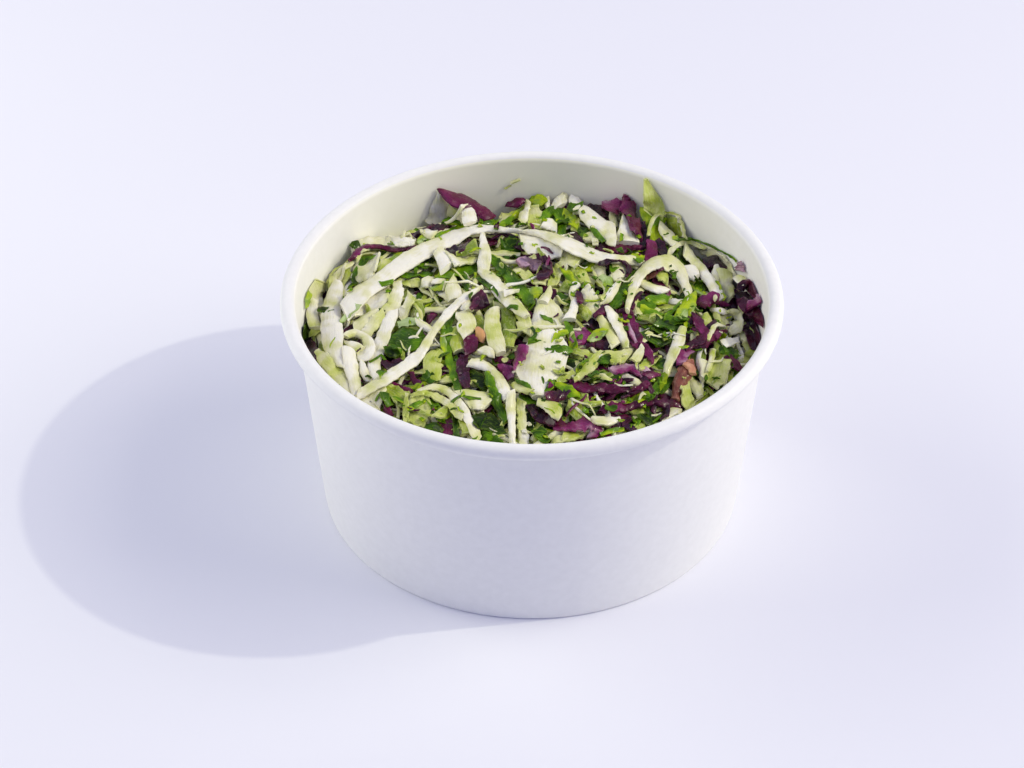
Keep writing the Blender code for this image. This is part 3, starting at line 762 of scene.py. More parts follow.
def leaning(pixels):
    """Least height at which each line of sight is still inside the tub's wall."""
    low = np.full(len(pixels), LEAST_LEAN)
    high = np.full(len(pixels), TUB_HEIGHT - 1.0)
    for _ in range(12):
        middle = (low + high) / 2
        outside = np.hypot(*seen_at(pixels, middle).T) > wall_inner(middle) - WALL_GAP
        low, high = np.where(outside, middle, low), np.where(outside, high, middle)
    return np.where(high > LEAST_LEAN + 0.1, high, 0.0)


def smooth_line(stations, steps):
    """A smooth curve through the stations, each a row of numbers."""
    rows = np.array(stations, float)
    spans = len(rows) - 1
    place = np.linspace(0, spans, steps)
    at = np.minimum(place.astype(int), spans - 1)
    local = (place - at)[:, None]
    start, end = rows[at], rows[at + 1]
    before = rows[np.maximum(at - 1, 0)]
    after = rows[np.minimum(at + 2, spans)]
    return 0.5 * (2 * start + (end - before) * local
                  + (2 * before - 5 * start + 4 * end - after) * local ** 2
                  + (3 * start - before - 3 * end + after) * local ** 3)


def eased(heights, passes):
    """Heights along a strip with their quick changes smoothed away."""
    for _ in range(passes):
        padded = np.concatenate((heights[:1], heights, heights[-1:]))
        heights = 0.25 * padded[:-2] + 0.5 * padded[1:-1] + 0.25 * padded[2:]
    return heights


def lay_seen(pile, gathered, kind, layer, tint, stations, draw, stand=None):
    """A shred whose outline in the picture is known: (x, y, width) stations in pixels.

    It rests on the pile, or stands with its two ends at the heights given by stand.
    """
    _, thickness, _, crinkle, _, _, _, rounds = STYLES[kind]
    length = sum(math.dist(a[:2], b[:2]) for a, b in zip(stations, stations[1:]))
    steps = int(min(max(length / STATION_PX, 9), MOST_STATIONS))
    line = smooth_line(stations, steps)
    middle, wide = line[:, :2], np.maximum(line[:, 2], 1.0)
    side = sideways(middle)
    most = max(station[2] for station in stations) / PX_PER_MM
    thickness *= 1 + BROAD_SHARE * min(max(most - BROAD_FROM, 0.0), BROAD_MOST)
    thickness = min(thickness * draw.uniform(0.85, 1.15), MOST_THICK * most)
    # Of the width seen, this much is the cut side of the shred.
    seen_thick = thickness * PX_PER_MM * math.cos(CAMERA_PITCH) * np.abs(side[:, 1])
    flat = np.sqrt(np.maximum(wide ** 2 - seen_thick ** 2, (0.4 * wide) ** 2))
    left_px = middle - side * flat[:, None] / 2
    right_px = middle + side * flat[:, None] / 2
    passes = 2 + int(most * 2)
    if stand is None:
        guess = heap_level(*seen_at(middle, np.full(steps, FIRST_LEVEL)).T)
        low, high = guess.copy(), guess.copy()
        for _ in range(5):
            left, right = seen_at(left_px, low), seen_at(right_px, high)
            width = np.hypot(*(right - left).T).mean()
            bed_low, bed_high = rest(pile, left, right, rounds, SEEN_ROLL * width)
            lid = heap_level(*((left + right) / 2).T) + TOP_SLACK + LAYER_RISE * layer
            drop = np.maximum((bed_low + bed_high) / 2 - lid, 0)
            low = 0.5 * low + 0.5 * (bed_low - drop + thickness / 2 - SINK)
            high = 0.5 * high + 0.5 * (bed_high - drop + thickness / 2 - SINK)
        low = eased(np.maximum(low, leaning(left_px)), passes)
        high = eased(np.maximum(high, leaning(right_px)), passes)
        run = run_of((left + right) / 2)
        low = low + crinkle * wander(draw, run)
        high = high + crinkle * wander(draw, run)
    else:
        low = high = np.linspace(stand[0], stand[1], steps)
    edges = (seen_at(left_px, low), seen_at(right_px, high))
    lay(pile, gathered[kind], draw, edges, (low, high), thickness, kind, tint,
        calm=1.0 if stand is None else STANDING_CALM)


# The pieces that the photograph shows, by place. For each: its kind, its layer, from 1 undermost to
# 5 uppermost, its tint, and the stations of its middle line, each (x, y, width) in pixels of the
# photograph.
SEEN = (
    # left
    ("pale", 2, 0.12, ((352, 250, 10), (370, 243, 11), (392, 242, 10), (415, 243, 9))),
    ("pale", 3, 0.25, ((354, 281, 10), (362, 273, 18), (372, 267, 18), (378, 261, 8))),
    ("green", 4, 0.30, ((374, 257, 4), (366, 259, 6), (360, 266, 5), (355, 273, 5), (353, 279, 5),
                        (357, 284, 5))),
    ("green", 5, 0.25, ((350, 243, 5), (356, 245, 9), (357, 250, 3))),
    ("red", 3, 0.42, ((349, 261, 2), (353, 257, 3), (359, 251, 4), (366, 246.5, 4), (374, 246.5, 4.5),
                      (386, 248, 4.5), (397, 250.5, 5), (404, 249.5, 4), (413, 250, 6))),
    ("pale", 1, 0.20, ((322, 281, 12), (315, 292, 16), (318, 306, 12), (325, 318, 10))),
    ("pale", 2, 0.62, ((334, 275, 9), (333, 284, 10), (333, 292, 8))),
    ("green", 5, 0.70, ((309, 292, 4), (308, 300, 6), (307, 308, 3))),
    ("green", 5, 0.10, ((318, 310, 5), (327, 310, 5))),
    ("white", 2, 0.2, ((314, 300, 8), (312, 315, 12), (316, 328, 12))),
    ("green", 1, 0.2, ((306, 323, 6), (307, 331, 9), (306, 339, 5))),
    ("pale", 1, 0.85, ((309, 335, 4), (316, 331, 8), (323, 325, 7))),
    ("red", 1, 0.02, ((309, 342, 8), (313, 350, 12), (317, 359, 6))),
    ("white", 2, 0.12, ((388, 293, 12), (377, 301, 17), (363, 309, 14), (352, 316, 8))),
    ("white", 3, 0.30, ((378, 312, 8), (365, 321, 13), (354, 331, 13))),
    ("white", 3, 0.06, ((338, 283, 11), (334, 300, 18), (331, 316, 20), (332, 331, 22), (333, 346, 20),
                        (337, 358, 15), (342, 368, 9))),
    ("white", 4, 0.04, ((344, 313, 18), (353, 302, 19), (365, 291, 17), (380, 281, 16), (398, 267, 17),
                        (418, 254.5, 17), (437, 245, 14), (455, 237.5, 14), (470, 231, 9),
                        (485, 229, 7), (500, 230, 6), (515, 231, 5), (526, 232, 5))),
    ("green", 5, 0.97, ((340, 322, 3), (347, 316, 6), (352, 310, 8), (358, 304, 7))),
    ("green", 5, 0.45, ((380, 284.5, 5), (393, 281.5, 5))),
    ("pale", 3, 0.22, ((398, 282, 8), (397, 293, 13), (393, 305, 14), (385, 315, 13))),
    ("pale", 3, 0.45, ((384, 313, 10), (375, 323, 13), (367, 332, 12), (361, 339, 7))),
    ("pale", 2, 0.33, ((412, 295, 9), (406, 308, 9), (400, 319, 7))),
    ("green", 3, 0.3, ((396, 274.5, 3), (405, 275, 5), (420, 274.5, 5), (433, 274, 3))),
    ("pale", 1, 0.75, ((402, 283, 6), (412, 283, 8), (421, 282, 7))),
    ("pale", 2, 0.30, ((421, 283, 8), (427, 282, 10), (434, 283, 5))),
    # back, left of the middle
    ("green", 1, 0.35, ((443, 222, 5), (450, 221, 8), (461, 223, 5))),
    ("white", 4, 0.05, ((468, 210, 13), (469, 217, 15), (470, 224, 13))),
    ("green", 3, 0.7, ((471, 219, 3), (472, 223, 3))),
    ("red", 3, 0.05, ((431, 231, 4), (438, 228, 6), (447, 227, 3))),
    ("green", 3, 0.45, ((427, 240.5, 4), (440, 235, 5), (452, 230, 4), (465, 225.5, 4), (480, 224, 5),
                        (492, 223, 6), (499, 221, 5))),
    ("pale", 3, 0.12, ((420, 231, 3), (429, 234.5, 7), (438, 231, 2))),
    ("green", 2, 0.85, ((418, 244, 5), (422, 238, 6), (429, 239, 3))),
    ("red", 1, 0.12, ((446, 252, 6), (455, 251, 9), (465, 246, 7), (475, 240, 7))),
    ("pale", 2, 0.90, ((456, 255, 5), (466, 251, 9), (477, 244, 9))),
    ("green", 1, 0.05, ((415, 268, 5), (425, 265, 9), (434, 260, 6))),
    ("white", 4, 0.02, ((437, 250, 12), (443, 259, 14), (447, 269, 16))),
    ("pale", 4, 0.25, ((450, 259, 9), (463, 262, 8), (477, 260, 4))),
    ("white", 4, 0.12, ((482.5, 234, 5), (483.5, 243, 8), (485, 253, 12), (484, 264, 13), (483, 274, 10))),
    ("red", 1, 0.05, ((485, 240, 6), (493, 239, 9), (502, 237, 6))),
    ("red", 1, 0.08, ((504, 236, 5), (512, 239, 9), (518, 245, 9), (524, 251, 4))),
    ("pale", 1, 0.42, ((499, 222, 5), (506, 218, 9), (516, 213, 7))),
    ("green", 2, 0.60, ((500, 226, 4), (509, 220, 6), (519, 213, 6), (526, 205, 4))),
    ("pale", 3, 0.33, ((529, 201, 4), (526, 211, 7), (521, 223, 8))),
    ("red", 2, 0.55, ((506, 204, 4), (515, 203, 8), (526, 200, 5))),
    ("green", 2, 0.62, ((529, 200, 8), (537, 200, 14), (544, 204, 8))),
    ("pale", 2, 0.55, ((532, 206, 12), (535, 216, 15), (534, 228, 14))),
    # back, right of the middle
    ("pale", 1, 0.3, ((543, 202, 8), (550, 205, 11))),
    ("white", 2, 0.05, ((560, 192, 8), (560, 200, 17), (560, 208, 14))),
    ("white", 2, 0.12, ((571, 197, 8), (575, 202, 13), (580, 206, 6))),
    ("green", 4, 0.3, ((568, 206, 6), (575, 208, 9), (583, 203, 4))),
    ("green", 2, 0.35, ((540, 221, 5), (547, 214, 9), (554, 208, 6))),
    ("green", 3, 0.28, ((556, 209, 6), (561, 217, 13), (562, 227, 10), (562, 236, 6))),
    ("green", 3, 0.72, ((563, 211, 6), (571, 219, 11), (578, 227, 6))),
    ("white", 3, 0.10, ((541, 226, 4), (549, 224, 12), (557, 228, 9))),
    ("pale", 1, 0.7, ((572, 216, 8), (576, 224, 10), (575, 232, 8))),
    ("green", 2, 0.12, ((579, 228, 5), (584, 233, 11), (583, 241, 5))),
    ("white", 3, 0.35, ((585, 241, 5), (591, 238, 12), (598, 243, 5))),
    ("red", 2, 0.25, ((571, 234, 5), (577, 238, 6), (582, 242, 3))),
    ("pale", 3, 0.20, ((568, 235, 3), (571, 238, 4))),
    ("red", 1, 0.05, ((589, 205, 4), (598, 210, 8), (606, 214, 9), (611, 219, 4))),
    ("white", 3, 0.08, ((573, 212, 4), (580, 210, 12), (588, 216, 15), (596, 223, 16), (604, 229, 18),
                        (611, 234, 20), (615, 238, 12))),
    ("green", 4, 0.40, ((591, 227, 4), (597, 234, 6), (604, 242, 5))),
    ("white", 1, 0.2, ((612, 213, 5), (613, 220, 8), (616, 228, 5))),
    ("red", 3, 0.55, ((602, 205, 6), (611, 206, 10), (620, 206, 12), (628, 207, 9))),
    ("red", 4, 0.50, ((625.5, 194, 3), (627, 203, 12), (631, 214, 11), (635, 225, 10), (639, 237, 5))),
    ("white", 3, 0.12, ((623, 214, 2), (624, 222, 8), (625.5, 232, 16), (627, 243, 25))),
    ("green", 4, 0.62, ((622, 234, 4), (621, 241, 4))),
    ("red", 2, 0.42, ((596, 247, 4), (606, 248, 11), (617, 249, 9), (629, 247, 9), (641, 248, 5))),
    ("green", 4, 0.10, ((617, 251, 6), (623, 250, 7))),
    ("green", 1, 0.45, ((648, 209, 16), (649, 220, 14), (650, 232, 13), (653, 242, 9))),
    ("red", 1, 0.03, ((641, 222, 6), (644, 234, 9), (645, 248, 10))),
    ("red", 2, 0.66, ((651, 241, 8), (652, 250, 13), (650, 259, 11), (647, 265, 6))),
    ("green", 1, 0.5, ((663, 217, 9), (656, 226, 11), (655, 237, 11), (662, 247, 10), (668, 251, 4))),
    ("pale", 1, 0.95, ((668, 217, 8), (676, 226, 13), (681, 237, 9))),
    ("white", 3, 0.15, ((659, 225, 9), (665, 232, 10), (671, 239, 10), (677, 247, 8))),
    ("pale", 4, 0.42, ((648.5, 236, 3), (650, 226, 4), (655, 217, 4), (662, 213.5, 3.5), (671, 213, 3),
                       (678, 215, 3.5), (681, 221, 4), (683, 230, 4), (685, 238, 4))),
    ("red", 1, 0.02, ((657, 240, 6), (662, 250, 11), (666, 258, 6))),
    ("green", 1, 0.12, ((672, 251, 8), (679, 252, 11), (683, 260, 9), (687, 268, 5))),
    ("pale", 2, 0.25, ((697, 247, 7), (711, 252, 9), (722, 260, 10), (729, 270, 10), (732, 280, 9))),
    ("red", 2, 0.12, ((704, 266, 8), (710, 261, 13), (717, 263, 13), (722, 270, 8))),
    ("white", 2, 0.3, ((716, 266, 5), (716, 273, 9), (714, 281, 9))),
    ("green", 4, 0.30, ((676, 240, 2.5), (690, 239, 2.5), (699, 241, 2), (711, 246, 2), (723, 252, 2),
                        (732, 257, 2), (737, 262, 1.5))),
    ("pale", 3, 0.4, ((668.5, 258, 4), (671, 251, 5), (678, 245, 5), (687, 242.5, 5), (697, 245, 5),
                      (706, 249, 5))),
    ("white", 4, 0.20, ((684, 249, 9), (693, 260, 10), (702, 271, 11), (711, 283, 11), (719, 295, 10),
                        (722, 300, 7))),
    ("green", 4, 0.66, ((717, 281, 3), (721, 290, 4), (725, 299, 3))),
    ("pale", 2, 0.46, ((724, 271, 12), (727, 285, 13), (730, 301, 9))),
    ("red", 1, 0.98, ((740, 262, 7), (740, 271, 10))),
    ("white", 2, 0.15, ((734, 280, 7), (740, 280, 11), (746, 280, 6))),
    ("red", 1, 0.05, ((735, 296, 9), (743, 299, 14), (752, 303, 12))),
    ("red", 1, 0.10, ((744, 312, 11), (750, 322, 12), (755, 334, 9), (758, 345, 5))),
    ("red", 2, 0.20, ((737, 287, 6), (744, 285, 11), (751, 288, 12), (753, 296, 9))),
    ("red", 2, 0.35, ((741, 299, 8), (747, 307, 13), (756, 314, 12), (761, 324, 6))),
    ("red", 3, 0.85, ((746, 308, 7), (753, 304, 10), (762, 297, 5))),
    # the white arch and what it crosses
    ("odd", 1, 0.1, ((646, 276, 6), (652, 274, 8), (660, 271, 6))),
    ("pale", 2, 0.85, ((657, 278, 8), (663, 277, 11), (668, 281, 8))),
    ("white", 2, 0.15, ((641, 282, 9), (650, 287, 8), (660, 290, 8), (669, 291, 5))),
    ("white", 4, 0.15, ((685, 268, 8), (691, 272, 15), (697, 278, 9))),
    ("white", 4, 0.24, ((627, 311, 5), (630, 298, 7), (634, 286, 9), (640, 275, 10), (648, 267, 11),
                        (658, 262.5, 13), (668, 263, 17), (676, 268, 16), (682, 277, 12), (686, 286, 9),
                        (690, 296, 8))),
    ("red", 5, 0.35, ((656, 271, 3), (664, 268.5, 4))),
    ("green", 5, 0.72, ((691, 293, 10), (690, 301, 13), (685, 311, 13), (677, 318, 8))),
    ("green", 3, 0.2, ((697, 275, 5), (701, 283, 11), (705, 291, 5))),
    ("green", 3, 0.6, ((690, 286, 5), (698, 290.5, 6), (705, 294, 3))),
    ("red", 4, 0.5, ((699, 306, 11), (705, 302, 14), (713, 297, 9), (719, 298, 7))),
    ("red", 3, 0.60, ((711, 302, 4), (720, 303, 4), (729, 306, 2))),
    ("red", 4, 0.45, ((692, 317, 7), (697, 321, 11), (702, 328, 9), (708, 334, 6))),
    ("white", 3, 0.60, ((705, 314, 5), (706, 321, 12), (706, 328, 7))),
    ("white", 3, 0.15, ((711, 310, 4), (720, 310.5, 6), (727, 314, 6))),
    ("white", 1, 0.25, ((723, 313, 10), (723, 322, 11), (726, 331, 8))),
    ("green", 1, 0.3, ((708, 314, 8), (716, 316, 7))),
    ("red", 3, 0.15, ((701, 332, 7), (709, 328, 9), (717, 324, 5))),
    ("red", 3, 0.55, ((704, 334.5, 4), (715, 333.5, 4), (726, 331, 5))),
    ("pale", 3, 0.30, ((727, 311, 5), (735, 313, 7), (740, 320, 9), (736, 328, 9), (729, 333, 7))),
    ("red", 3, 0.42, ((678, 354, 7), (689, 347, 10), (702, 341.5, 11), (712, 337.5, 9), (721, 334, 5))),
    ("red", 4, 0.45, ((686, 350, 2), (697, 345.5, 2.5), (707, 341, 2))),
    ("white", 3, 0.12, ((722, 344, 7), (729, 342, 9), (738, 340, 6))),
    ("pale", 1, 0.6, ((741, 322, 6), (746, 334, 13), (750, 346, 13), (750, 356, 10))),
    ("red", 1, 0.05, ((744, 326, 8), (750, 336, 8), (754, 350, 6))),
    ("green", 3, 0.50, ((640, 308, 6), (650, 312, 9), (662, 316, 5))),
    ("green", 1, 0.38, ((650, 297, 6), (658, 299, 10), (669, 300, 6))),
    ("green", 2, 0.3, ((637, 304, 5), (646, 304, 9), (655, 308, 4))),
    ("pale", 3, 0.80, ((639, 317, 6), (648, 318, 8), (656, 320, 5))),
    ("green", 4, 0.5, ((664, 317, 3), (674, 309, 3.5), (683, 300, 4))),
    ("green", 1, 0.1, ((652, 325, 12), (664, 327, 14), (678, 324, 13), (688, 322, 8))),
    ("green", 2, 0.40, ((656, 322, 6), (668, 321, 9), (683, 320, 7))),
    ("red", 3, 0.3, ((632, 309, 4), (635, 300, 4), (641, 292, 4))),
    ("red", 3, 0.55, ((626, 311, 7), (629, 320, 12), (632, 331, 14), (636, 341, 13), (642, 350, 9),
                      (648, 358, 6))),
    # Painted highlight: a pale mauve strip laid along the shine on this loop.
    ("red", 5, 0.95, ((628, 323, 3), (631, 332, 4), (636, 342, 3))),
    ("red", 3, 0.3, ((616, 311.5, 4), (624, 311, 4), (632, 313, 5))),
    ("red", 4, 0.50, ((640, 343, 6), (646, 350, 8), (651, 358, 7), (653, 363, 3))),
    ("white", 4, 0.3, ((683, 328, 8), (679, 340, 12), (673, 354, 10), (668, 366, 8), (666, 377, 5))),
    ("green", 2, 0.05, ((645, 330, 10), (655, 338, 14), (665, 345, 12))),
    ("red", 3, 0.70, ((689, 350, 9), (683, 355, 12), (680, 364, 8))),
    # middle
    ("red", 1, 1.25, ((519, 264, 9), (529, 262, 14), (541, 265, 13))),
    ("red", 3, 0.20, ((526, 256, 3), (534, 255, 4), (543, 258, 6), (548, 265, 8), (545, 274, 10),
                      (537, 277, 7))),
    ("pale", 2, 0.4, ((516, 270, 6), (527, 276, 8), (538, 282, 7), (551, 279, 8))),
    ("pale", 2, 0.50, ((566, 257, 5), (562, 266, 10), (556, 275, 11), (552, 286, 8))),
    ("green", 4, 0.65, ((561, 267, 4), (570, 276, 8), (578, 285, 4))),
    ("pale", 1, 0.6, ((572, 264, 8), (579, 274, 13), (586, 284, 10))),
    ("green", 3, 0.60, ((587, 259, 6), (588, 265, 13), (590, 271, 8))),
    ("pale", 1, 0.35, ((596, 264, 12), (601, 276, 12), (602, 288, 9))),
    ("green", 3, 0.80, ((601, 277, 6), (608, 281, 12), (610, 291, 6))),
    ("white", 1, 0.35, ((612, 263, 12), (618, 270, 18), (620, 280, 13))),
    ("red", 4, 0.15, ((598, 263, 3), (604, 263, 5), (612, 261, 3.5), (621, 261, 3), (627, 265, 3),
                      (629, 272, 3), (626, 277, 3))),
    ("green", 3, 0.45, ((611, 263, 2), (612, 270, 3), (619, 267, 2))),
    ("white", 3, 0.12, ((518, 232, 5), (535, 233, 6), (550, 237, 9), (565, 243, 12), (580, 250, 14),
                        (597, 257, 12), (615, 259, 9), (630, 260, 9), (642, 264, 8))),
    ("white", 2, 0.04, ((520, 240, 13), (532, 245, 21), (545, 248, 21), (556, 250, 17), (563, 253, 10))),
    ("white", 1, 0.3, ((556, 252, 12), (568, 257, 15), (580, 263, 12))),
    ("green", 4, 0.60, ((632, 258, 8), (638, 258, 10), (644, 259, 8))),
    ("green", 2, 0.32, ((637, 270, 4), (631, 280, 9), (624, 290, 12), (618, 300, 15), (612, 309, 8))),
    ("white", 3, 0.20, ((603, 305, 4), (609, 297, 8), (615, 288, 8), (621, 280, 4))),
    ("white", 4, 0.02, ((576, 284, 9), (573, 293, 8), (575, 302, 8), (573, 311, 9), (569, 320, 13))),
    ("green", 2, 0.93, ((528, 293, 6), (534, 293, 11), (542, 291, 6))),
    ("white", 3, 0.2, ((550, 288, 4), (548, 295, 8), (543, 303, 9))),
    ("green", 1, 0.30, ((558, 296, 4), (564, 299, 11), (571, 303, 6))),
    ("white", 2, 0.50, ((557, 296, 3), (561, 302, 3), (568, 305, 3))),
    ("red", 4, 0.4, ((576, 293, 5), (580, 298, 9), (583, 302, 4))),
    ("white", 1, 0.3, ((585, 289, 12), (590, 301, 18), (593, 312, 16), (598, 320, 8))),
    ("pale", 3, 1.00, ((579, 306, 6), (585, 312, 11), (589, 319, 6))),
    ("red", 3, 0.2, ((598, 311, 10), (603, 312, 13), (608, 314, 6))),
    ("white", 3, 0.3, ((599, 317, 7), (605, 326, 11), (612, 336, 12), (617, 346, 12))),
    ("white", 4, 0.28, ((608, 308, 5), (613, 317, 9), (619, 328, 10), (624, 340, 9), (626, 349, 6))),
    ("red", 1, 0.1, ((585, 319, 8), (593, 323, 12), (600, 329, 8))),
    ("red", 2, 0.68, ((575, 333, 8), (581, 336, 15), (590, 333, 7))),
    ("green", 3, 0.75, ((588, 341, 6), (596, 335.5, 9), (606, 333, 6))),
    ("red", 2, 0.1, ((586, 346, 4), (595, 343, 10), (604, 344, 13), (613, 351, 6))),
    ("white", 2, 0.34, ((541, 297, 9), (545, 309, 25), (548, 323, 35), (548, 338, 35), (546, 350, 34))),
    ("white", 3, 0.10, ((548, 333, 22), (547, 345, 41), (545, 355, 46), (541, 365, 48), (539, 375, 46),
                        (538, 384, 34), (538, 392, 24), (538, 398, 12))),
    ("green", 5, 0.35, ((541, 316.5, 4), (553, 320.5, 4))),
    ("green", 5, 0.3, ((528, 343, 2.5), (537, 341, 3), (545, 342, 2))),
    ("green", 5, 0.35, ((545, 349, 5), (558, 349, 7), (572, 350, 5))),
    ("green", 4, 0.25, ((532, 327, 3), (535, 335, 4), (529, 341, 3))),
    ("green", 5, 0.52, ((553, 342, 4), (558, 335, 7), (568, 331, 5))),
    ("green", 3, 0.45, ((566, 321, 4), (569, 329, 8), (572, 338, 8), (573, 349, 8))),
    ("green", 2, 0.28, ((488, 255, 5), (496, 262, 9), (504, 270, 10), (511, 278, 12), (519, 288, 13),
                        (527, 297, 13), (532, 307, 8))),
    ("green", 3, 0.45, ((436, 277, 3), (447, 273, 8), (457, 271, 11), (467, 269, 12), (478, 267, 9))),
    ("green", 3, 0.2, ((464, 276, 6), (466, 284, 7), (467, 291, 3))),
    ("white", 2, 0.25, ((433, 282, 5), (441, 280, 7), (451, 279, 7))),
    ("green", 2, 0.85, ((432, 290, 5), (440, 287, 9), (448, 284, 6))),
    ("white", 2, 0.2, ((450, 279, 10), (453, 290, 16), (455, 301, 14))),
    ("white", 3, 0.15, ((456, 309, 10), (464, 304, 16), (470, 311, 8))),
    ("red", 1, 0.08, ((470, 303, 14), (478, 300, 19), (488, 299, 12))),
    ("red", 3, 0.45, ((471, 309, 5), (475, 303, 7), (479, 298, 5))),
    ("white", 3, 0.15, ((456, 315, 6), (464, 318, 18), (467, 327, 19), (468, 336, 10))),
    ("pale", 1, 0.8, ((472, 318, 10), (479, 323, 12), (482, 333, 8))),
    ("white", 3, 0.38, ((493, 310, 13), (492, 322, 16), (494, 335, 17), (498, 346, 16), (501, 354, 10))),
    ("pale", 2, 1.0, ((506, 309, 9), (508, 322, 15), (509, 335, 15), (507, 348, 12))),
    ("white", 4, 0.22, ((480, 271, 7), (489, 278, 13), (498, 288, 15), (507, 299, 14), (517, 307, 13),
                        (527, 317, 8))),
    ("green", 5, 0.15, ((478, 277, 4), (486, 284, 5), (494, 289, 4), (498, 296, 2))),
    ("white", 4, 0.25, ((504, 293, 8), (511, 292, 6), (519, 291, 2))),
    ("green", 5, 0.20, ((507, 309, 3), (512, 306, 4), (518, 308, 3))),
    ("pale", 2, 0.52, ((519, 312, 9), (524, 320, 13), (524, 333, 13))),
    ("odd", 3, 0.92, ((478, 329, 6), (480, 335, 10), (481, 342, 6))),
    ("red", 3, 0.55, ((470, 336, 8), (471, 344, 15), (471, 353, 12))),
    ("white", 1, 0.7, ((455, 329, 9), (457, 340, 15), (459, 352, 13))),
    ("green", 3, 0.42, ((453, 311, 5), (448, 322, 10), (447, 333, 11), (446, 345, 9), (449, 358, 8),
                        (453, 371, 9), (457, 383, 9), (459, 393, 5))),
    ("green", 4, 0.78, ((443, 325, 4), (443, 340, 6), (445, 355, 5))),
    ("white", 5, 0.12, ((482, 287, 3), (472, 293, 6), (463, 299, 8), (454, 307, 8), (444, 318, 8),
                        (434, 331, 8), (427, 343, 9), (420, 354, 11), (411, 362, 12), (398, 371, 12),
                        (385, 379, 12), (370, 388, 11), (357, 396, 8))),
    ("green", 2, 0.25, ((388, 338, 8), (398, 338, 19), (408, 340, 23), (419, 341, 21), (430, 340, 11))),
    ("green", 3, 0.99, ((398, 325, 5), (407, 322, 9), (418, 321, 8))),
    ("white", 2, 0.28, ((416, 320, 4), (422, 325, 8), (432, 331, 8))),
    # front, left
    ("white", 3, 0.05, ((398, 313, 8), (390, 320, 13), (385, 332, 13), (380, 345, 13), (376, 357, 13),
                        (374, 369, 13), (374, 382, 11))),
    ("white", 3, 0.25, ((345, 337, 8), (354, 333, 9), (364, 337, 9), (369, 345, 13), (367, 353, 13),
                        (358, 357, 8))),
    ("white", 3, 0.45, ((346, 345, 9), (354, 347, 12), (361, 350, 9))),
    ("white", 4, 0.03, ((349, 350, 13), (350, 360, 14), (352, 372, 13), (355, 384, 12), (356, 397, 8))),
    ("pale", 3, 0.35, ((317, 351, 6), (325, 360, 13), (334, 371, 13), (343, 383, 15), (352, 395, 8))),
    ("green", 3, 0.35, ((340, 384, 5), (344, 386.5, 7), (348, 389, 3))),
    ("white", 2, 0.30, ((338, 351, 8), (341, 360, 12), (343, 369, 6))),
    ("white", 3, 0.08, ((361, 361, 4), (364, 371, 9), (369, 383, 6))),
    ("white", 4, 0.16, ((385, 385, 7), (376, 394, 20), (370, 403, 22), (374, 411, 12))),
    ("green", 5, 0.30, ((370, 362, 2), (376, 358.5, 2.5), (381, 355, 2.5), (385, 360, 2))),
    ("green", 5, 0.35, ((378, 375, 4), (381, 374, 6), (385, 373, 3))),
    ("red", 1, 0.4, ((385, 382, 3), (396, 386, 6), (405, 390, 7), (412, 391, 4))),
    ("pale", 1, 0.78, ((386, 387, 7), (395, 392, 14), (403, 399, 16), (411, 406, 10))),
    ("green", 4, 0.12, ((384, 393, 7), (387, 399, 11), (391, 406, 6))),
    ("green", 3, 0.20, ((385, 351, 10), (393, 352, 13), (401, 355, 10))),
    ("pale", 3, 0.75, ((399, 348, 3), (403, 356, 4), (402, 366, 4))),
    ("red", 3, 0.05, ((384, 367, 10), (394, 365, 13), (403, 362, 8))),
    ("pale", 1, 0.80, ((441, 351, 7), (433, 361, 17), (433, 373, 19), (432, 384, 8))),
    ("white", 3, 0.22, ((418, 392, 4), (428, 387.5, 6), (438, 388, 8), (448, 392, 8), (457, 401, 10),
                        (465, 413, 10), (472, 426, 9), (479, 440, 9))),
    ("pale", 4, 0.45, ((411, 396, 4), (421, 393, 5), (430, 394, 7), (439, 399, 7), (448, 403, 7),
                       (454, 411, 7), (462, 418, 6))),
    ("red", 3, 0.10, ((464, 356, 9), (463, 366, 13), (464, 377, 11), (467, 388, 8))),
    ("white", 3, 0.28, ((469, 363, 8), (479, 364, 10), (488, 368, 10), (497, 375, 7))),
    ("white", 5, 0.25, ((478, 352, 5), (487, 351, 10), (494, 355, 7))),
    ("green", 4, 0.64, ((482, 357, 6), (487, 357, 8))),
    ("green", 1, 0.0, ((471, 379, 12), (480, 381, 18), (488, 382, 12))),
    ("green", 4, 0.35, ((487, 372, 6), (490, 382, 9), (494, 393, 10), (497, 403, 10), (502, 413, 9),
                        (506, 422, 6))),
    ("white", 2, 0.30, ((461, 399, 16), (471, 400, 19), (482, 401, 19), (493, 401, 18))),
    ("green", 3, 0.00, ((474, 418, 12), (483, 421, 18), (493, 424, 16), (503, 427, 10))),
    ("pale", 1, 0.65, ((409, 403, 15), (420, 404, 17), (431, 404, 14))),
    ("pale", 2, 0.60, ((407, 414, 10), (418, 418, 17), (428, 418, 14))),
    ("pale", 2, 0.6, ((441, 410, 14), (447, 410, 15), (452, 409, 8))),
    ("green", 4, 0.45, ((409, 408, 6), (416, 405, 6), (424, 402, 3))),
    ("green", 3, 0.4, ((429, 400, 5), (434, 405, 9), (440, 409, 5))),
    ("pale", 3, 0.55, ((407, 394, 4), (406, 408, 5), (406, 424, 6))),
    ("red", 1, 0.45, ((384, 408, 6), (388, 412, 8), (391, 416, 5))),
    ("red", 1, 0.3, ((444, 418, 9), (447, 426, 13), (448, 436, 10))),
    ("green", 3, 0.15, ((453, 412, 5), (456, 424, 7), (457, 438, 6))),
    ("green", 3, 0.05, ((484, 437, 6), (494, 441, 10), (504, 445, 6))),
    ("green", 2, 0.15, ((425, 428, 6), (435, 427, 9), (443, 432, 6))),
    ("pale", 1, 0.7, ((462, 415, 8), (465, 424, 11), (466, 434, 8))),
    # front, middle and right
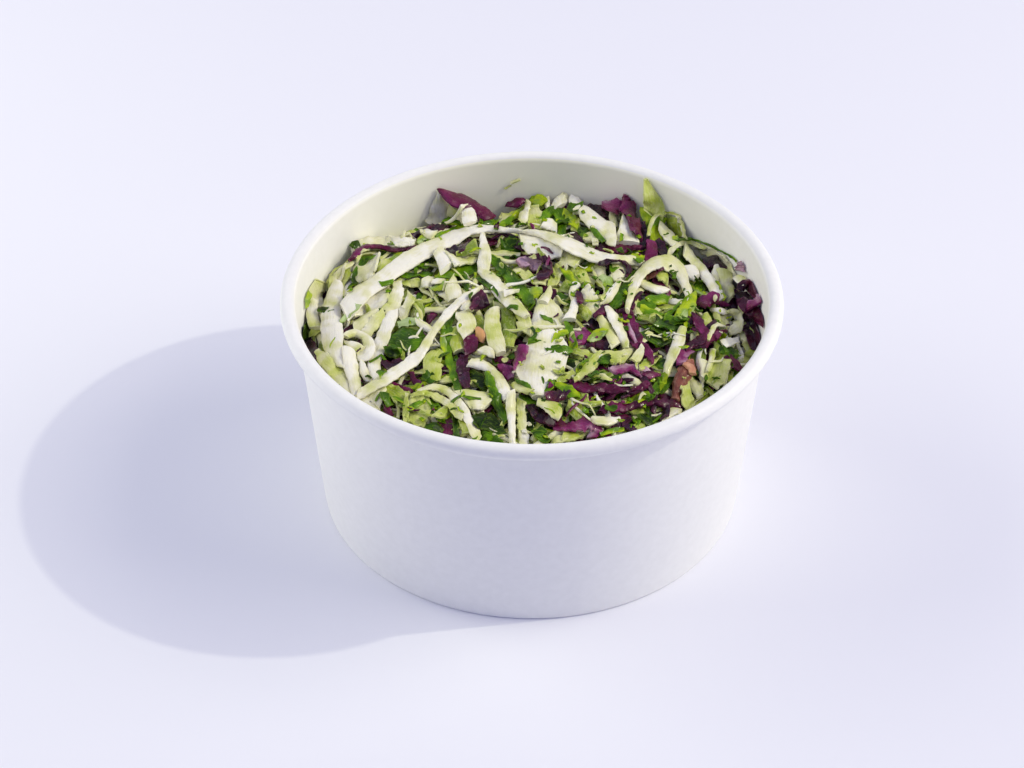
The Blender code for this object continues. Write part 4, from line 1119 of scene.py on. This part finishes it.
    ("white", 3, 0.22, ((494, 371, 6), (498, 380, 13), (503, 390, 14), (508, 401, 9))),
    ("white", 4, 0.1, ((511, 391, 7), (511, 400, 10), (511, 412, 9), (512, 425, 7), (512, 437, 7),
                       (513, 446, 7))),
    ("pale", 3, 0.40, ((521, 400, 9), (521, 412, 9), (522, 425, 9), (523, 437, 10), (525, 446, 9))),
    ("pale", 4, 0.60, ((513, 384, 6), (521, 388, 10), (531, 392, 8))),
    ("green", 4, 0.35, ((515, 380, 3), (522, 383, 5), (531, 387, 4))),
    ("green", 2, 0.3, ((519, 396, 6), (527, 400, 10), (535, 401, 8), (544, 399, 3))),
    ("red", 3, 0.05, ((528, 406, 6), (537, 413, 12), (547, 419, 11), (556, 421, 8))),
    ("green", 1, 0.05, ((529, 408, 8), (529, 420, 9), (530, 430, 6))),
    ("green", 2, 0.2, ((535, 430, 8), (541, 436, 11), (549, 442, 6))),
    ("white", 3, 0.38, ((537, 402, 6), (546, 404, 13), (555, 410, 15), (560, 418, 6))),
    ("green", 4, 0.30, ((559, 404, 3), (561, 409, 3))),
    ("red", 3, 0.10, ((551, 394, 7), (559, 395, 10), (568, 395, 8))),
    ("green", 3, 0.5, ((545, 392, 5), (550, 387, 7), (556, 380, 5))),
    ("green", 4, 0.58, ((555, 384, 5), (564, 388, 8), (572, 392, 8), (580, 396, 5))),
    ("red", 2, 0.66, ((552, 420, 7), (562, 426, 10), (572, 427, 10), (582, 424, 10), (591, 424, 10),
                      (597, 430, 11), (591, 438, 7))),
    ("pale", 1, 0.95, ((582, 394, 13), (578, 405, 20), (572, 417, 16))),
    # Painted shade: this piece's tint is set dark for the shade it lies in.
    ("pale", 1, 0.95, ((562, 436, 8), (570, 436, 10), (579, 435, 8))),
    ("pale", 5, 0.50, ((601, 356, 8), (592, 364, 12), (584, 373, 9), (574, 380, 4))),
    ("green", 4, 0.60, ((591, 357, 5), (584, 365, 8), (576, 372, 6))),
    ("pale", 3, 0.80, ((575, 372, 5), (566, 377, 8), (557, 382, 4))),
    ("green", 1, 0.05, ((565, 364, 8), (574, 364, 10), (583, 364, 8))),
    ("pale", 1, 0.9, ((569, 354, 6), (580, 355, 11), (591, 357, 8))),
    ("red", 4, 0.25, ((571, 383, 3), (580, 377, 4), (588, 373, 5), (599, 371, 4))),
    ("pale", 3, 0.80, ((591, 382, 5), (600, 377, 8), (612, 373, 6))),
    ("green", 3, 0.15, ((586, 380, 8), (594, 376, 10), (604, 372, 8))),
    ("green", 2, 0.15, ((600, 382, 6), (611, 379, 9), (622, 376, 6))),
    ("pale", 3, 0.90, ((571, 350, 4), (584, 354, 7), (596, 357, 5), (607, 361, 3))),
    ("green", 3, 0.22, ((599, 360, 6), (605, 359, 10), (611, 359, 5))),
    ("white", 2, 0.85, ((587, 405, 6), (594, 404, 7), (602, 403, 5))),
    ("green", 1, 0.15, ((585, 411, 7), (594, 409, 9), (603, 405, 6))),
    ("red", 2, 0.5, ((494, 358, 6), (502, 360, 6), (512, 361.5, 6))),
    ("red", 2, 0.68, ((503, 365, 9), (507, 371, 14), (511, 379, 7))),
    ("red", 4, 0.50, ((524, 346, 6), (520, 355, 10), (515, 365, 6))),
    ("pale", 4, 0.50, ((605, 358, 13), (618, 357, 15), (630, 356, 11))),
    ("red", 3, 0.95, ((612, 372, 9), (621, 368.5, 10), (630, 368, 9), (640, 371.5, 8), (648, 374, 7))),
    ("red", 5, 0.5, ((641, 373, 5), (650, 375, 6), (660, 375, 3))),
    ("red", 3, 0.46, ((571, 385, 6), (585, 388, 9), (600, 388.5, 9), (615, 389, 8), (630, 390, 7),
                      (641, 387.5, 7), (649, 383, 5))),
    ("red", 4, 0.10, ((621, 398, 3), (632, 394, 4), (642, 390, 3))),
    ("red", 3, 0.4, ((601, 408, 6), (611, 408, 10), (622, 408, 9), (634, 406, 7), (648, 403, 6),
                     (660, 403, 7), (670, 405, 11), (681, 405, 9))),
    ("red", 5, 0.05, ((670, 408, 9), (664, 413, 9), (660, 418, 6))),
    ("odd", 2, 0.15, ((688, 362, 11), (686, 371, 18), (681, 381, 14), (677, 391, 12), (675, 401, 8))),
    ("odd", 4, 0.80, ((683, 364, 5), (691, 367, 7), (693, 374, 6))),
    ("green", 2, 0.28, ((670, 376, 9), (663, 384, 14), (655, 391, 10), (648, 399, 5))),
    ("green", 2, 0.45, ((650, 394, 8), (640, 397.5, 7), (627, 402, 4))),
    ("pale", 3, 0.58, ((684, 384, 8), (687, 393, 11), (688, 402, 13), (691, 409, 8))),
    ("white", 2, 0.3, ((690, 382, 8), (697, 388, 13), (700, 397, 8))),
    ("white", 2, 0.25, ((703, 361, 8), (705, 370, 10), (702, 379, 7))),
    ("green", 1, 0.02, ((711, 366, 5), (709, 378, 7), (702, 389, 8))),
    ("pale", 2, 0.6, ((722, 347, 16), (721, 359, 20), (718, 372, 20), (712, 386, 14))),
    ("white", 3, 0.3, ((713, 350, 6), (711, 362, 6), (707, 372, 4))),
    ("red", 2, 0.45, ((726, 356, 5), (733, 363, 9), (739, 371, 6))),
    ("green", 2, 0.25, ((719, 352, 6), (726, 349, 9), (734, 355, 5))),
    ("white", 4, 0.30, ((663, 417, 6), (671, 413, 10), (680, 411, 5))),
    ("white", 3, 0.12, ((592, 418, 4), (602, 421, 10), (611, 421, 9), (620, 419, 4))),
    ("red", 2, 0.15, ((611, 428, 4), (622, 424, 6), (631, 418, 5))),
    ("red", 2, 0.3, ((622, 424, 5), (628, 427, 7), (635, 430, 5))),
    ("green", 3, 0.20, ((646, 408, 3), (651, 416, 4), (657, 424, 3))),
    ("green", 2, 0.10, ((640, 415, 8), (648, 420, 10), (654, 424, 6))),
    ("green", 2, 0.6, ((600, 434, 4), (612, 431, 5), (624, 429, 4))),
    ("pale", 3, 0.85, ((639, 368, 6), (648, 363, 8), (659, 356, 6))),
    ("pale", 4, 0.30, ((643, 346, 5), (640, 353, 8), (633, 361, 7))),
    ("green", 1, 0.25, ((652, 366, 8), (660, 364, 12), (667, 360, 8))),
)

# Pieces that stand against the wall: kind, tint, heights of tip and foot, stations from the tip down.
STANDING = (
    ("white", 0.10, (66.0, 54.0), ((438, 190, 4), (437, 200, 15), (439, 212, 24), (441, 228, 30))),
    ("white", 0.40, (62.0, 56.0), ((455, 206, 12), (452, 214, 11), (450, 223, 5))),
    ("red", 0.50, (67.0, 58.0), ((438, 188.5, 2), (444, 193, 7), (452, 198, 12), (462, 202, 13),
                                 (472, 205, 10), (480, 211, 11), (487, 216, 11), (495, 217, 3))),
    ("pale", 0.58, (73.0, 63.0), ((645.5, 179, 3), (649, 188, 12), (653, 198, 19), (654, 207, 22),
                                  (653, 215, 20))),
)

# Parsley leaves: x, y and reach in pixels, turn in degrees, tint.
LEAVES = (
    (506, 254, 18, 20, 0.12), (674, 287, 9, 70, 0.25), (728, 352, 8, 10, 0.2), (562, 222, 11, 200, 0.2),
    (398, 352, 9, 130, 0.3), (484, 421, 12, 250, 0.1), (541, 434, 10, 300, 0.15), (663, 383, 11, 330, 0.45),
    (604, 359, 8, 30, 0.2), (664, 324, 12, 80, 0.15), (681, 321, 9, 170, 0.25), (592, 377, 9, 220, 0.25),
    (609, 408, 8, 100, 0.2), (430, 377, 9, 40, 0.1), (700, 284, 8, 140, 0.2),
)

# Crumbs stuck to the lining at the back: kind, tint, stations.
STUCK = (
    ("pale", 0.30, ((511, 183, 3), (515, 180, 5), (520, 179, 3))),
    ("pale", 0.55, ((505, 189, 2), (508, 186, 3), (511, 185, 2))),
)


def lay_standing(pile, gathered, draw):
    """Pieces leaning on the wall, their two ends at known heights."""
    for kind, tint, heights, stations in STANDING:
        lay_seen(pile, gathered, kind, LAYERS, tint, stations, draw, heights)


def lay_stuck(pile, gathered, draw):
    """Crumbs on the lining, at the height where each line of sight meets it."""
    for kind, tint, stations in STUCK:
        heights = leaning(np.array([station[:2] for station in stations], float)) + 0.1
        lay_seen(pile, gathered, kind, LAYERS, tint, stations, draw, (heights[0], heights[-1]))


# ---------------------------------------------------------------- parsley leaves and flecks
# Points round the edge and rings from the middle out: of a leaf seen whole, one under others, a crumb.
WHOLE_LEAF = (36, (0.4, 0.75, 1.0))
BURIED_LEAF = (20, (0.55, 1.0))
CRUMB = (9, (1.0,))
LEAF_THICKNESS = 0.3
# Steepest slope that a leaf follows, and how far it may stand over the heap.
LEAF_SLOPE, LEAF_LID = 0.6, 2.5
# Loose things are strewn within STREW_REACH of the middle. Beyond STREW_WALL from it, those longer
# than LONG_STRAND follow the wall.
STREW_REACH, STREW_WALL, LONG_STRAND = 64.0, 50.0, 8.0
# Length of a loose clipping between two of its sections.
LOOSE_STEP = 0.7
# Loose pieces lie no higher than this over the heap, so not on what stands against the wall.
LOOSE_LID = 4.2


def leaf_outline(draw, lobes, rim):
    """Reach at each angle: deep pointed lobes, cut straight off on one or two sides."""
    angle = np.arange(rim) / rim * math.tau
    phase = (angle * lobes / math.tau + draw.random()) % 1.0
    outline = 1.0 - draw.uniform(0.25, 0.5) * np.abs(phase * 2 - 1) ** 1.5
    outline += 0.05 * np.cos(angle * rim / 2)
    outline += 0.12 * np.sin(angle + draw.uniform(0, 6))
    outline += 0.08 * np.sin(angle * 2 + draw.uniform(0, 6))
    for _ in range(draw.choice((1, 2, 2))):
        facing = np.cos(angle - draw.uniform(0, math.tau))
        knife = draw.uniform(0.25, 0.7)
        outline = np.minimum(outline, np.where(facing > 0.05, knife / np.maximum(facing, 0.05), 9.0))
    return angle, outline


def leaf(pieces, draw, middle, reach, turn, tilt, tint, squeeze, cut):
    """A thin piece of leaf, folded along its rib and rippled, lying with a tilt."""
    rim, rings = cut
    angle, outline = leaf_outline(draw, draw.choice((3, 4, 5)), rim)
    fold, ripple_at = draw.uniform(-0.1, 0.55), draw.uniform(0, 6)
    rows = []
    for ring in rings:
        radius = reach * ring * outline
        x, y = radius * np.cos(angle), radius * np.sin(angle) * squeeze
        ripple = 0.16 * reach * ring ** 2 * np.sin(angle * 3 + ripple_at)
        rows.append(np.column_stack((x, y, fold * np.abs(y) + ripple)))
    flat = np.concatenate([np.zeros((1, 3))] + rows)
    face = np.array(Matrix.Rotation(turn, 3, "Z") @ Matrix.Rotation(tilt, 3, "X"))
    up = face @ np.array((0, 0, min(LEAF_THICKNESS, 0.35 * reach) / 2))
    placed = flat @ face.T + middle
    points = np.concatenate((placed + up, placed - up))
    low = len(flat)
    around = np.arange(rim)
    ahead = (around + 1) % rim
    zero = np.zeros(rim, int)
    tops = [np.stack((zero, 1 + around, 1 + ahead), axis=1)]
    quads = []
    for ring in range(len(rings) - 1):
        base = 1 + ring * rim
        outer = base + rim
        quads.append(np.stack((base + around, outer + around, outer + ahead, base + ahead), axis=1))
    under = [block[:, ::-1] + low for block in tops + quads]
    last = 1 + (len(rings) - 1) * rim
    wall = np.stack((last + around, low + last + around, low + last + ahead, last + ahead), axis=1)
    tints = np.full(len(points), tint) + 0.12 * np.tile(np.cos(flat[:, 0] / reach * 3 + turn), 2)
    pieces.take(points, tints, np.zeros(len(points)), points[:, :2], tops + quads + under + [wall])


def lay_leaf(pile, pieces, draw, spot, reach, turn, lift, tint, squeeze, cut):
    """A leaf resting on what is under it, leaning with the slope there."""
    around = spot + reach * 0.6 * np.array(((1, 0), (-1, 0), (0, 1), (0, -1)))
    heights = pile.read(around)
    slope = np.array((heights[0] - heights[1], heights[2] - heights[3])) / (1.2 * reach)
    slope = np.clip(slope, -LEAF_SLOPE, LEAF_SLOPE)
    fall = math.atan2(slope[1], slope[0])
    tilt = math.atan(math.hypot(*slope)) + draw.uniform(-0.15, 0.2)
    height = heights.mean() * 0.6 + heights.max() * 0.4 + lift
    height = min(height, float(heap_level(*spot)) + TOP_SLACK + LEAF_LID)
    middle = np.array((spot[0], spot[1], height))
    if turn is None:
        turn = fall + math.pi / 2
    leaf(pieces, draw, middle, reach, turn, tilt, tint, squeeze, cut)


def lay_seen_leaves(pile, gathered, draw):
    """Each leaf where its line of sight meets the pile."""
    for px, py, reach, turn, tint in LEAVES:
        pixels = np.array(((px, py),), float)
        height = np.array((FIRST_LEVEL,))
        for _ in range(4):
            spot = seen_at(pixels, height)
            height = pile.read(spot) + 0.5
        lay_leaf(pile, gathered["green"], draw, spot[0], reach / PX_PER_MM, math.radians(turn), 0.5,
                 tint, 1.0, WHOLE_LEAF)


def scatter_leaves(pile, gathered, draw, count, reaches):
    """Leaves strewn over a bed, to be half buried by the next."""
    for _ in range(count):
        radius = STREW_REACH * math.sqrt(draw.random())
        at = draw.uniform(0, math.tau)
        reach = draw.uniform(*reaches)
        lay_leaf(pile, gathered["green"], draw, polar(radius, at), reach, None, 0.2,
                 draw.uniform(0.05, 0.6), draw.uniform(0.4, 1.0), BURIED_LEAF)


# Small clippings lying loose: share, width, length, tint.
SCRAPS = {
    "green": (0.48, (0.35, 0.9), (2.0, 6.5), (0.1, 0.75)),
    "strand": (0.22, (0.4, 0.9), (2.5, 8.0), (0.1, 0.7)),
    "red": (0.16, (0.5, 1.2), (1.8, 6.0), (0.1, 0.6)),
    "pale": (0.14, (0.8, 1.8), (1.8, 5.0), (0.3, 0.9)),
}
# Crumbs: share, reach and tint.
CRUMBS = {
    "green": (0.80, (0.7, 1.7), (0.12, 0.76)),
    "pale": (0.12, (0.8, 1.8), (0.1, 0.8)),
    "red": (0.08, (0.6, 1.3), (0.1, 0.7)),
}
# Longer strands lying loose: share, width, length, tint.
STRANDS = {
    "strand": (0.52, (0.6, 1.5), (8.0, 26.0), (0.0, 0.7)),
    "pale": (0.26, (0.9, 2.2), (6.0, 18.0), (0.3, 0.9)),
    "green": (0.14, (0.6, 1.6), (4.0, 12.0), (0.1, 0.7)),
    "red": (0.08, (0.7, 1.6), (6.0, 16.0), (0.1, 0.6)),
}

# Where the photograph shows small clippings thickest: x, y, reach in mm and how many.
THICKETS = (
    (20.8, 13.0, 12.0, 18), (38.0, -6.0, 10.0, 13), (10.0, -32.0, 12.0, 11), (-3.4, 47.0, 14.0, 11),
    (12.2, 42.0, 12.0, 8), (31.0, -40.0, 14.0, 14), (-29.5, -42.0, 12.0, 7), (18.0, -19.0, 12.0, 15),
    (52.0, 4.0, 10.0, 8), (50.0, -24.0, 10.0, 8), (-30.0, -55.0, 10.0, 8), (0.0, -62.0, 12.0, 10),
    (32.0, -54.0, 10.0, 8),
)


def strewn(draw, near):
    """A spot in the tub, or close to a given place, as a radius and an angle."""
    radius, at = STREW_REACH * math.sqrt(draw.random()), draw.uniform(0, math.tau)
    if near is None:
        return radius, at
    x, y = draw.gauss(near[0], near[2] / 2), draw.gauss(near[1], near[2] / 2)
    return min(math.hypot(x, y), STREW_REACH), math.atan2(y, x)


def scatter_crumbs(pile, gathered, draw, count, near=None):
    """Irregular crumbs of chopped leaf on whatever is uppermost."""
    for _ in range(count):
        kind = draw.choices(list(CRUMBS), [row[0] for row in CRUMBS.values()])[0]
        _, reaches, tints = CRUMBS[kind]
        radius, at = strewn(draw, near)
        spot = polar(radius, at)
        reach, squeeze = draw.uniform(*reaches), draw.uniform(0.35, 1.0)
        if float(pile.read(spot)) - float(heap_level(*spot)) < LOOSE_LID:
            lay_leaf(pile, gathered[kind], draw, spot, reach, draw.uniform(0, math.tau), 0.15,
                     draw.uniform(*tints), squeeze, CRUMB)


def scatter(pile, gathered, draw, table, count, rounds, near=None):
    """Loose clippings of herb and cabbage lying on whatever is uppermost."""
    for _ in range(count):
        kind = draw.choices(list(table), [row[0] for row in table.values()])[0]
        _, widths, lengths, tints = table[kind]
        width, length = draw.uniform(*widths), draw.uniform(*lengths)
        radius, at = strewn(draw, near)
        heading = draw.uniform(0, math.tau)
        if radius > STREW_WALL and length > LONG_STRAND:
            heading = at + math.pi / 2 + draw.uniform(-0.4, 0.4)
        steps = max(int(length / LOOSE_STEP), 4)
        share = np.linspace(-0.5, 0.5, steps)
        turn = heading + draw.uniform(-1.2, 1.2) * share
        turn = turn + 0.2 * np.sin(share * 8 + draw.uniform(0, 6))
        line = np.cumsum(np.column_stack((np.cos(turn), np.sin(turn))) * length / steps, axis=0)
        line += polar(radius, at) - line.mean(axis=0)
        side = np.column_stack((np.sin(turn), -np.cos(turn)))
        half = (width / 2 * (0.45 + 0.55 * np.cos(share * 2.6)))[:, None] * side
        left, right = line - half, line + half
        low, high = rest(pile, left, right, rounds, LOOSE_ROLL * width)
        proud = (low + high).mean() / 2 - float(heap_level(*line.mean(axis=0)))
        if np.ptp(low) > 0.35 * length + 0.6 or proud > LOOSE_LID:
            continue
        thickness = min(STYLES[kind][1], LOOSE_THICK * width)
        low, high = low + thickness / 4, high + thickness / 4
        lay(pile, gathered[kind], draw, (left, right), (low, high), thickness, kind,
            draw.uniform(*tints), True)


# ---------------------------------------------------------------- core, floor, lights, camera
def salad_core(material):
    """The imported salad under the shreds, fitting the tub and following the heap."""
    side = wall_inner(HEAP_EDGE - CORE_DROP) - WALL_GAP
    floor = BASE_LEVEL + FIT_GAP
    profile = [(side * ring / CORE_RINGS, HEAP_EDGE) for ring in range(CORE_RINGS + 1)]
    profile.append((wall_inner(floor) - WALL_GAP, floor))
    profile.append((0.0, floor))
    bm = turned(profile, CORE_STEPS, False)
    for vertex in bm.verts:
        x, y, z = vertex.co / MM
        if z > HEAP_EDGE - 1:
            vertex.co.z = (float(heap_level(x, y)) - CORE_DROP + CORE_FILL) * MM
    return finished("salad_core", bm, material, 40)


FLOOR_COLOUR = "#E7E8F0"
FLOOR_REACH = 3.0
WORLD_COLOUR, WORLD_STRENGTH = "#C3C8FF", 0.53
# Each light: name, place and size in metres, power in watts, colour. All are turned to one place.
LIGHTS = (
    ("key_right", (1.18, 0.01, 1.15), (0.03, 0.03), 6.6, "#FFFCDC"),
    ("soft_right", (1.5, 0.0, 1.2), (1.4, 1.4), 23.5, "#FFF8E5"),
    ("fill_left", (-0.75, 0.15, 0.45), (0.7, 0.7), 4.7, "#FFFDE1"),
)
LIT_PLACE = Vector((0.0, 0.0, 0.03))


def area_light(name, place, size, power, code):
    """A rectangular light turned to the lit place."""
    lamp = bpy.data.lights.new(name, "AREA")
    lamp.shape = "RECTANGLE"
    lamp.size, lamp.size_y = size
    lamp.energy = power
    lamp.color = colour(code)[:3]
    holder = bpy.data.objects.new(name, lamp)
    holder.location = place
    holder.rotation_mode = "QUATERNION"
    holder.rotation_quaternion = (LIT_PLACE - Vector(place)).to_track_quat("-Z", "Y")
    bpy.context.scene.collection.objects.link(holder)


def studio():
    """A pale matt sweep, a small key and a large soft light from the right, fill from all round."""
    bm = bmesh.new()
    bmesh.ops.create_grid(bm, x_segments=1, y_segments=1, size=FLOOR_REACH)
    material, tree, shader = new_material("studio_floor_matt_paper")
    fill(tree, shader, {"Base Color": colour(FLOOR_COLOUR), "Roughness": 0.8,
                        "Specular IOR Level": 0.15})
    floor = finished("studio_floor", bm, material)
    for row in LIGHTS:
        area_light(*row)
    world = bpy.data.worlds.new("studio_fill")
    world.use_nodes = True
    back = world.node_tree.nodes["Background"]
    back.inputs["Color"].default_value = colour(WORLD_COLOUR)
    back.inputs["Strength"].default_value = WORLD_STRENGTH
    bpy.context.scene.world = world


def camera():
    """The photograph's viewpoint."""
    data = bpy.data.cameras.new("photo_camera")
    data.lens, data.sensor_width = LENS, SENSOR
    data.clip_start, data.clip_end = 0.05, 20.0
    holder = bpy.data.objects.new("photo_camera", data)
    holder.location = CAMERA_AT * MM
    holder.rotation_euler = (math.pi / 2 - CAMERA_PITCH, 0.0, 0.0)
    bpy.context.scene.collection.objects.link(holder)
    bpy.context.scene.camera = holder


def fit(piece, node):
    """Let a piece take a node's place on the one body."""
    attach(piece, "root")
    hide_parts(node)


SEED = 41
# The beds of shreds under what is seen, from the bottom up: how many, how far under the heap's
# surface, tries for each, plain section or not; then how many leaves are strewn on it and their reach.
BEDS = (
    (220, 4.2, 4, True, 40, (2.2, 4.5)),
    (380, 2.4, 5, True, 60, (2.0, 4.0)),
    (640, 0.9, 6, False, 60, (1.6, 3.4)),
)
# Loose strands strewn after each layer of the pieces seen, then clippings and crumbs over all.
LOOSE_STRANDS = (60, 26, 8, 0, 0)
LOOSE_SCRAPS, LOOSE_CRUMBS = 60, 70
# Clippings for each crumb in a thicket.
THICKET_SCRAPS = 0.45
# Rounds of tautness for loose strands and clippings.
STRAND_ROUNDS, SCRAP_ROUNDS = 10, 4
PIECE_NAMES = {
    "white": "white_cabbage_shreds", "strand": "fine_cabbage_strands", "pale": "green_cabbage_shreds",
    "red": "red_cabbage_shreds", "green": "chopped_parsley", "odd": "small_scraps",
}


def heap_of_salad():
    """All the pieces of salad, gathered by kind."""
    draw = random.Random(SEED)
    pile = HeapMap()
    gathered = {kind: Pieces() for kind in STYLES}
    for count, below, tries, plain, leaves, reaches in BEDS:
        lay_random(pile, gathered, draw, count, below, tries, plain)
        scatter_leaves(pile, gathered, draw, leaves, reaches)
    lay_standing(pile, gathered, draw)
    lay_stuck(pile, gathered, draw)
    for uppermost in range(1, LAYERS + 1):
        for kind, layer, tint, stations in SEEN:
            if layer == uppermost:
                lay_seen(pile, gathered, kind, layer, tint, stations, draw)
        scatter(pile, gathered, draw, STRANDS, LOOSE_STRANDS[uppermost - 1], STRAND_ROUNDS)
    lay_seen_leaves(pile, gathered, draw)
    scatter(pile, gathered, draw, SCRAPS, LOOSE_SCRAPS, SCRAP_ROUNDS)
    scatter_crumbs(pile, gathered, draw, LOOSE_CRUMBS)
    for x, y, reach, count in THICKETS:
        scraps = int(THICKET_SCRAPS * count)
        scatter(pile, gathered, draw, SCRAPS, scraps, SCRAP_ROUNDS, (x, y, reach))
        scatter_crumbs(pile, gathered, draw, count, (x, y, reach))
    return gathered


def build():
    """The tub and the salad, each piece in its node's place."""
    board = paperboard()
    fit(tub_wall(board), "tub_wall")
    fit(tub_seam(board), "tub_wall")
    fit(tub_base(board), "tub_base")
    fit(salad_core(painted_shade_core_material()), "salad")
    materials = {kind: cabbage(*finish) for kind, finish in FINISHES.items()}
    materials["strand"] = materials["white"]
    for kind, pieces in heap_of_salad().items():
        fit(pieces.make(PIECE_NAMES[kind], materials[kind]), "salad")


build()
studio()
camera()
bpy.context.scene.view_settings.view_transform = "Standard"
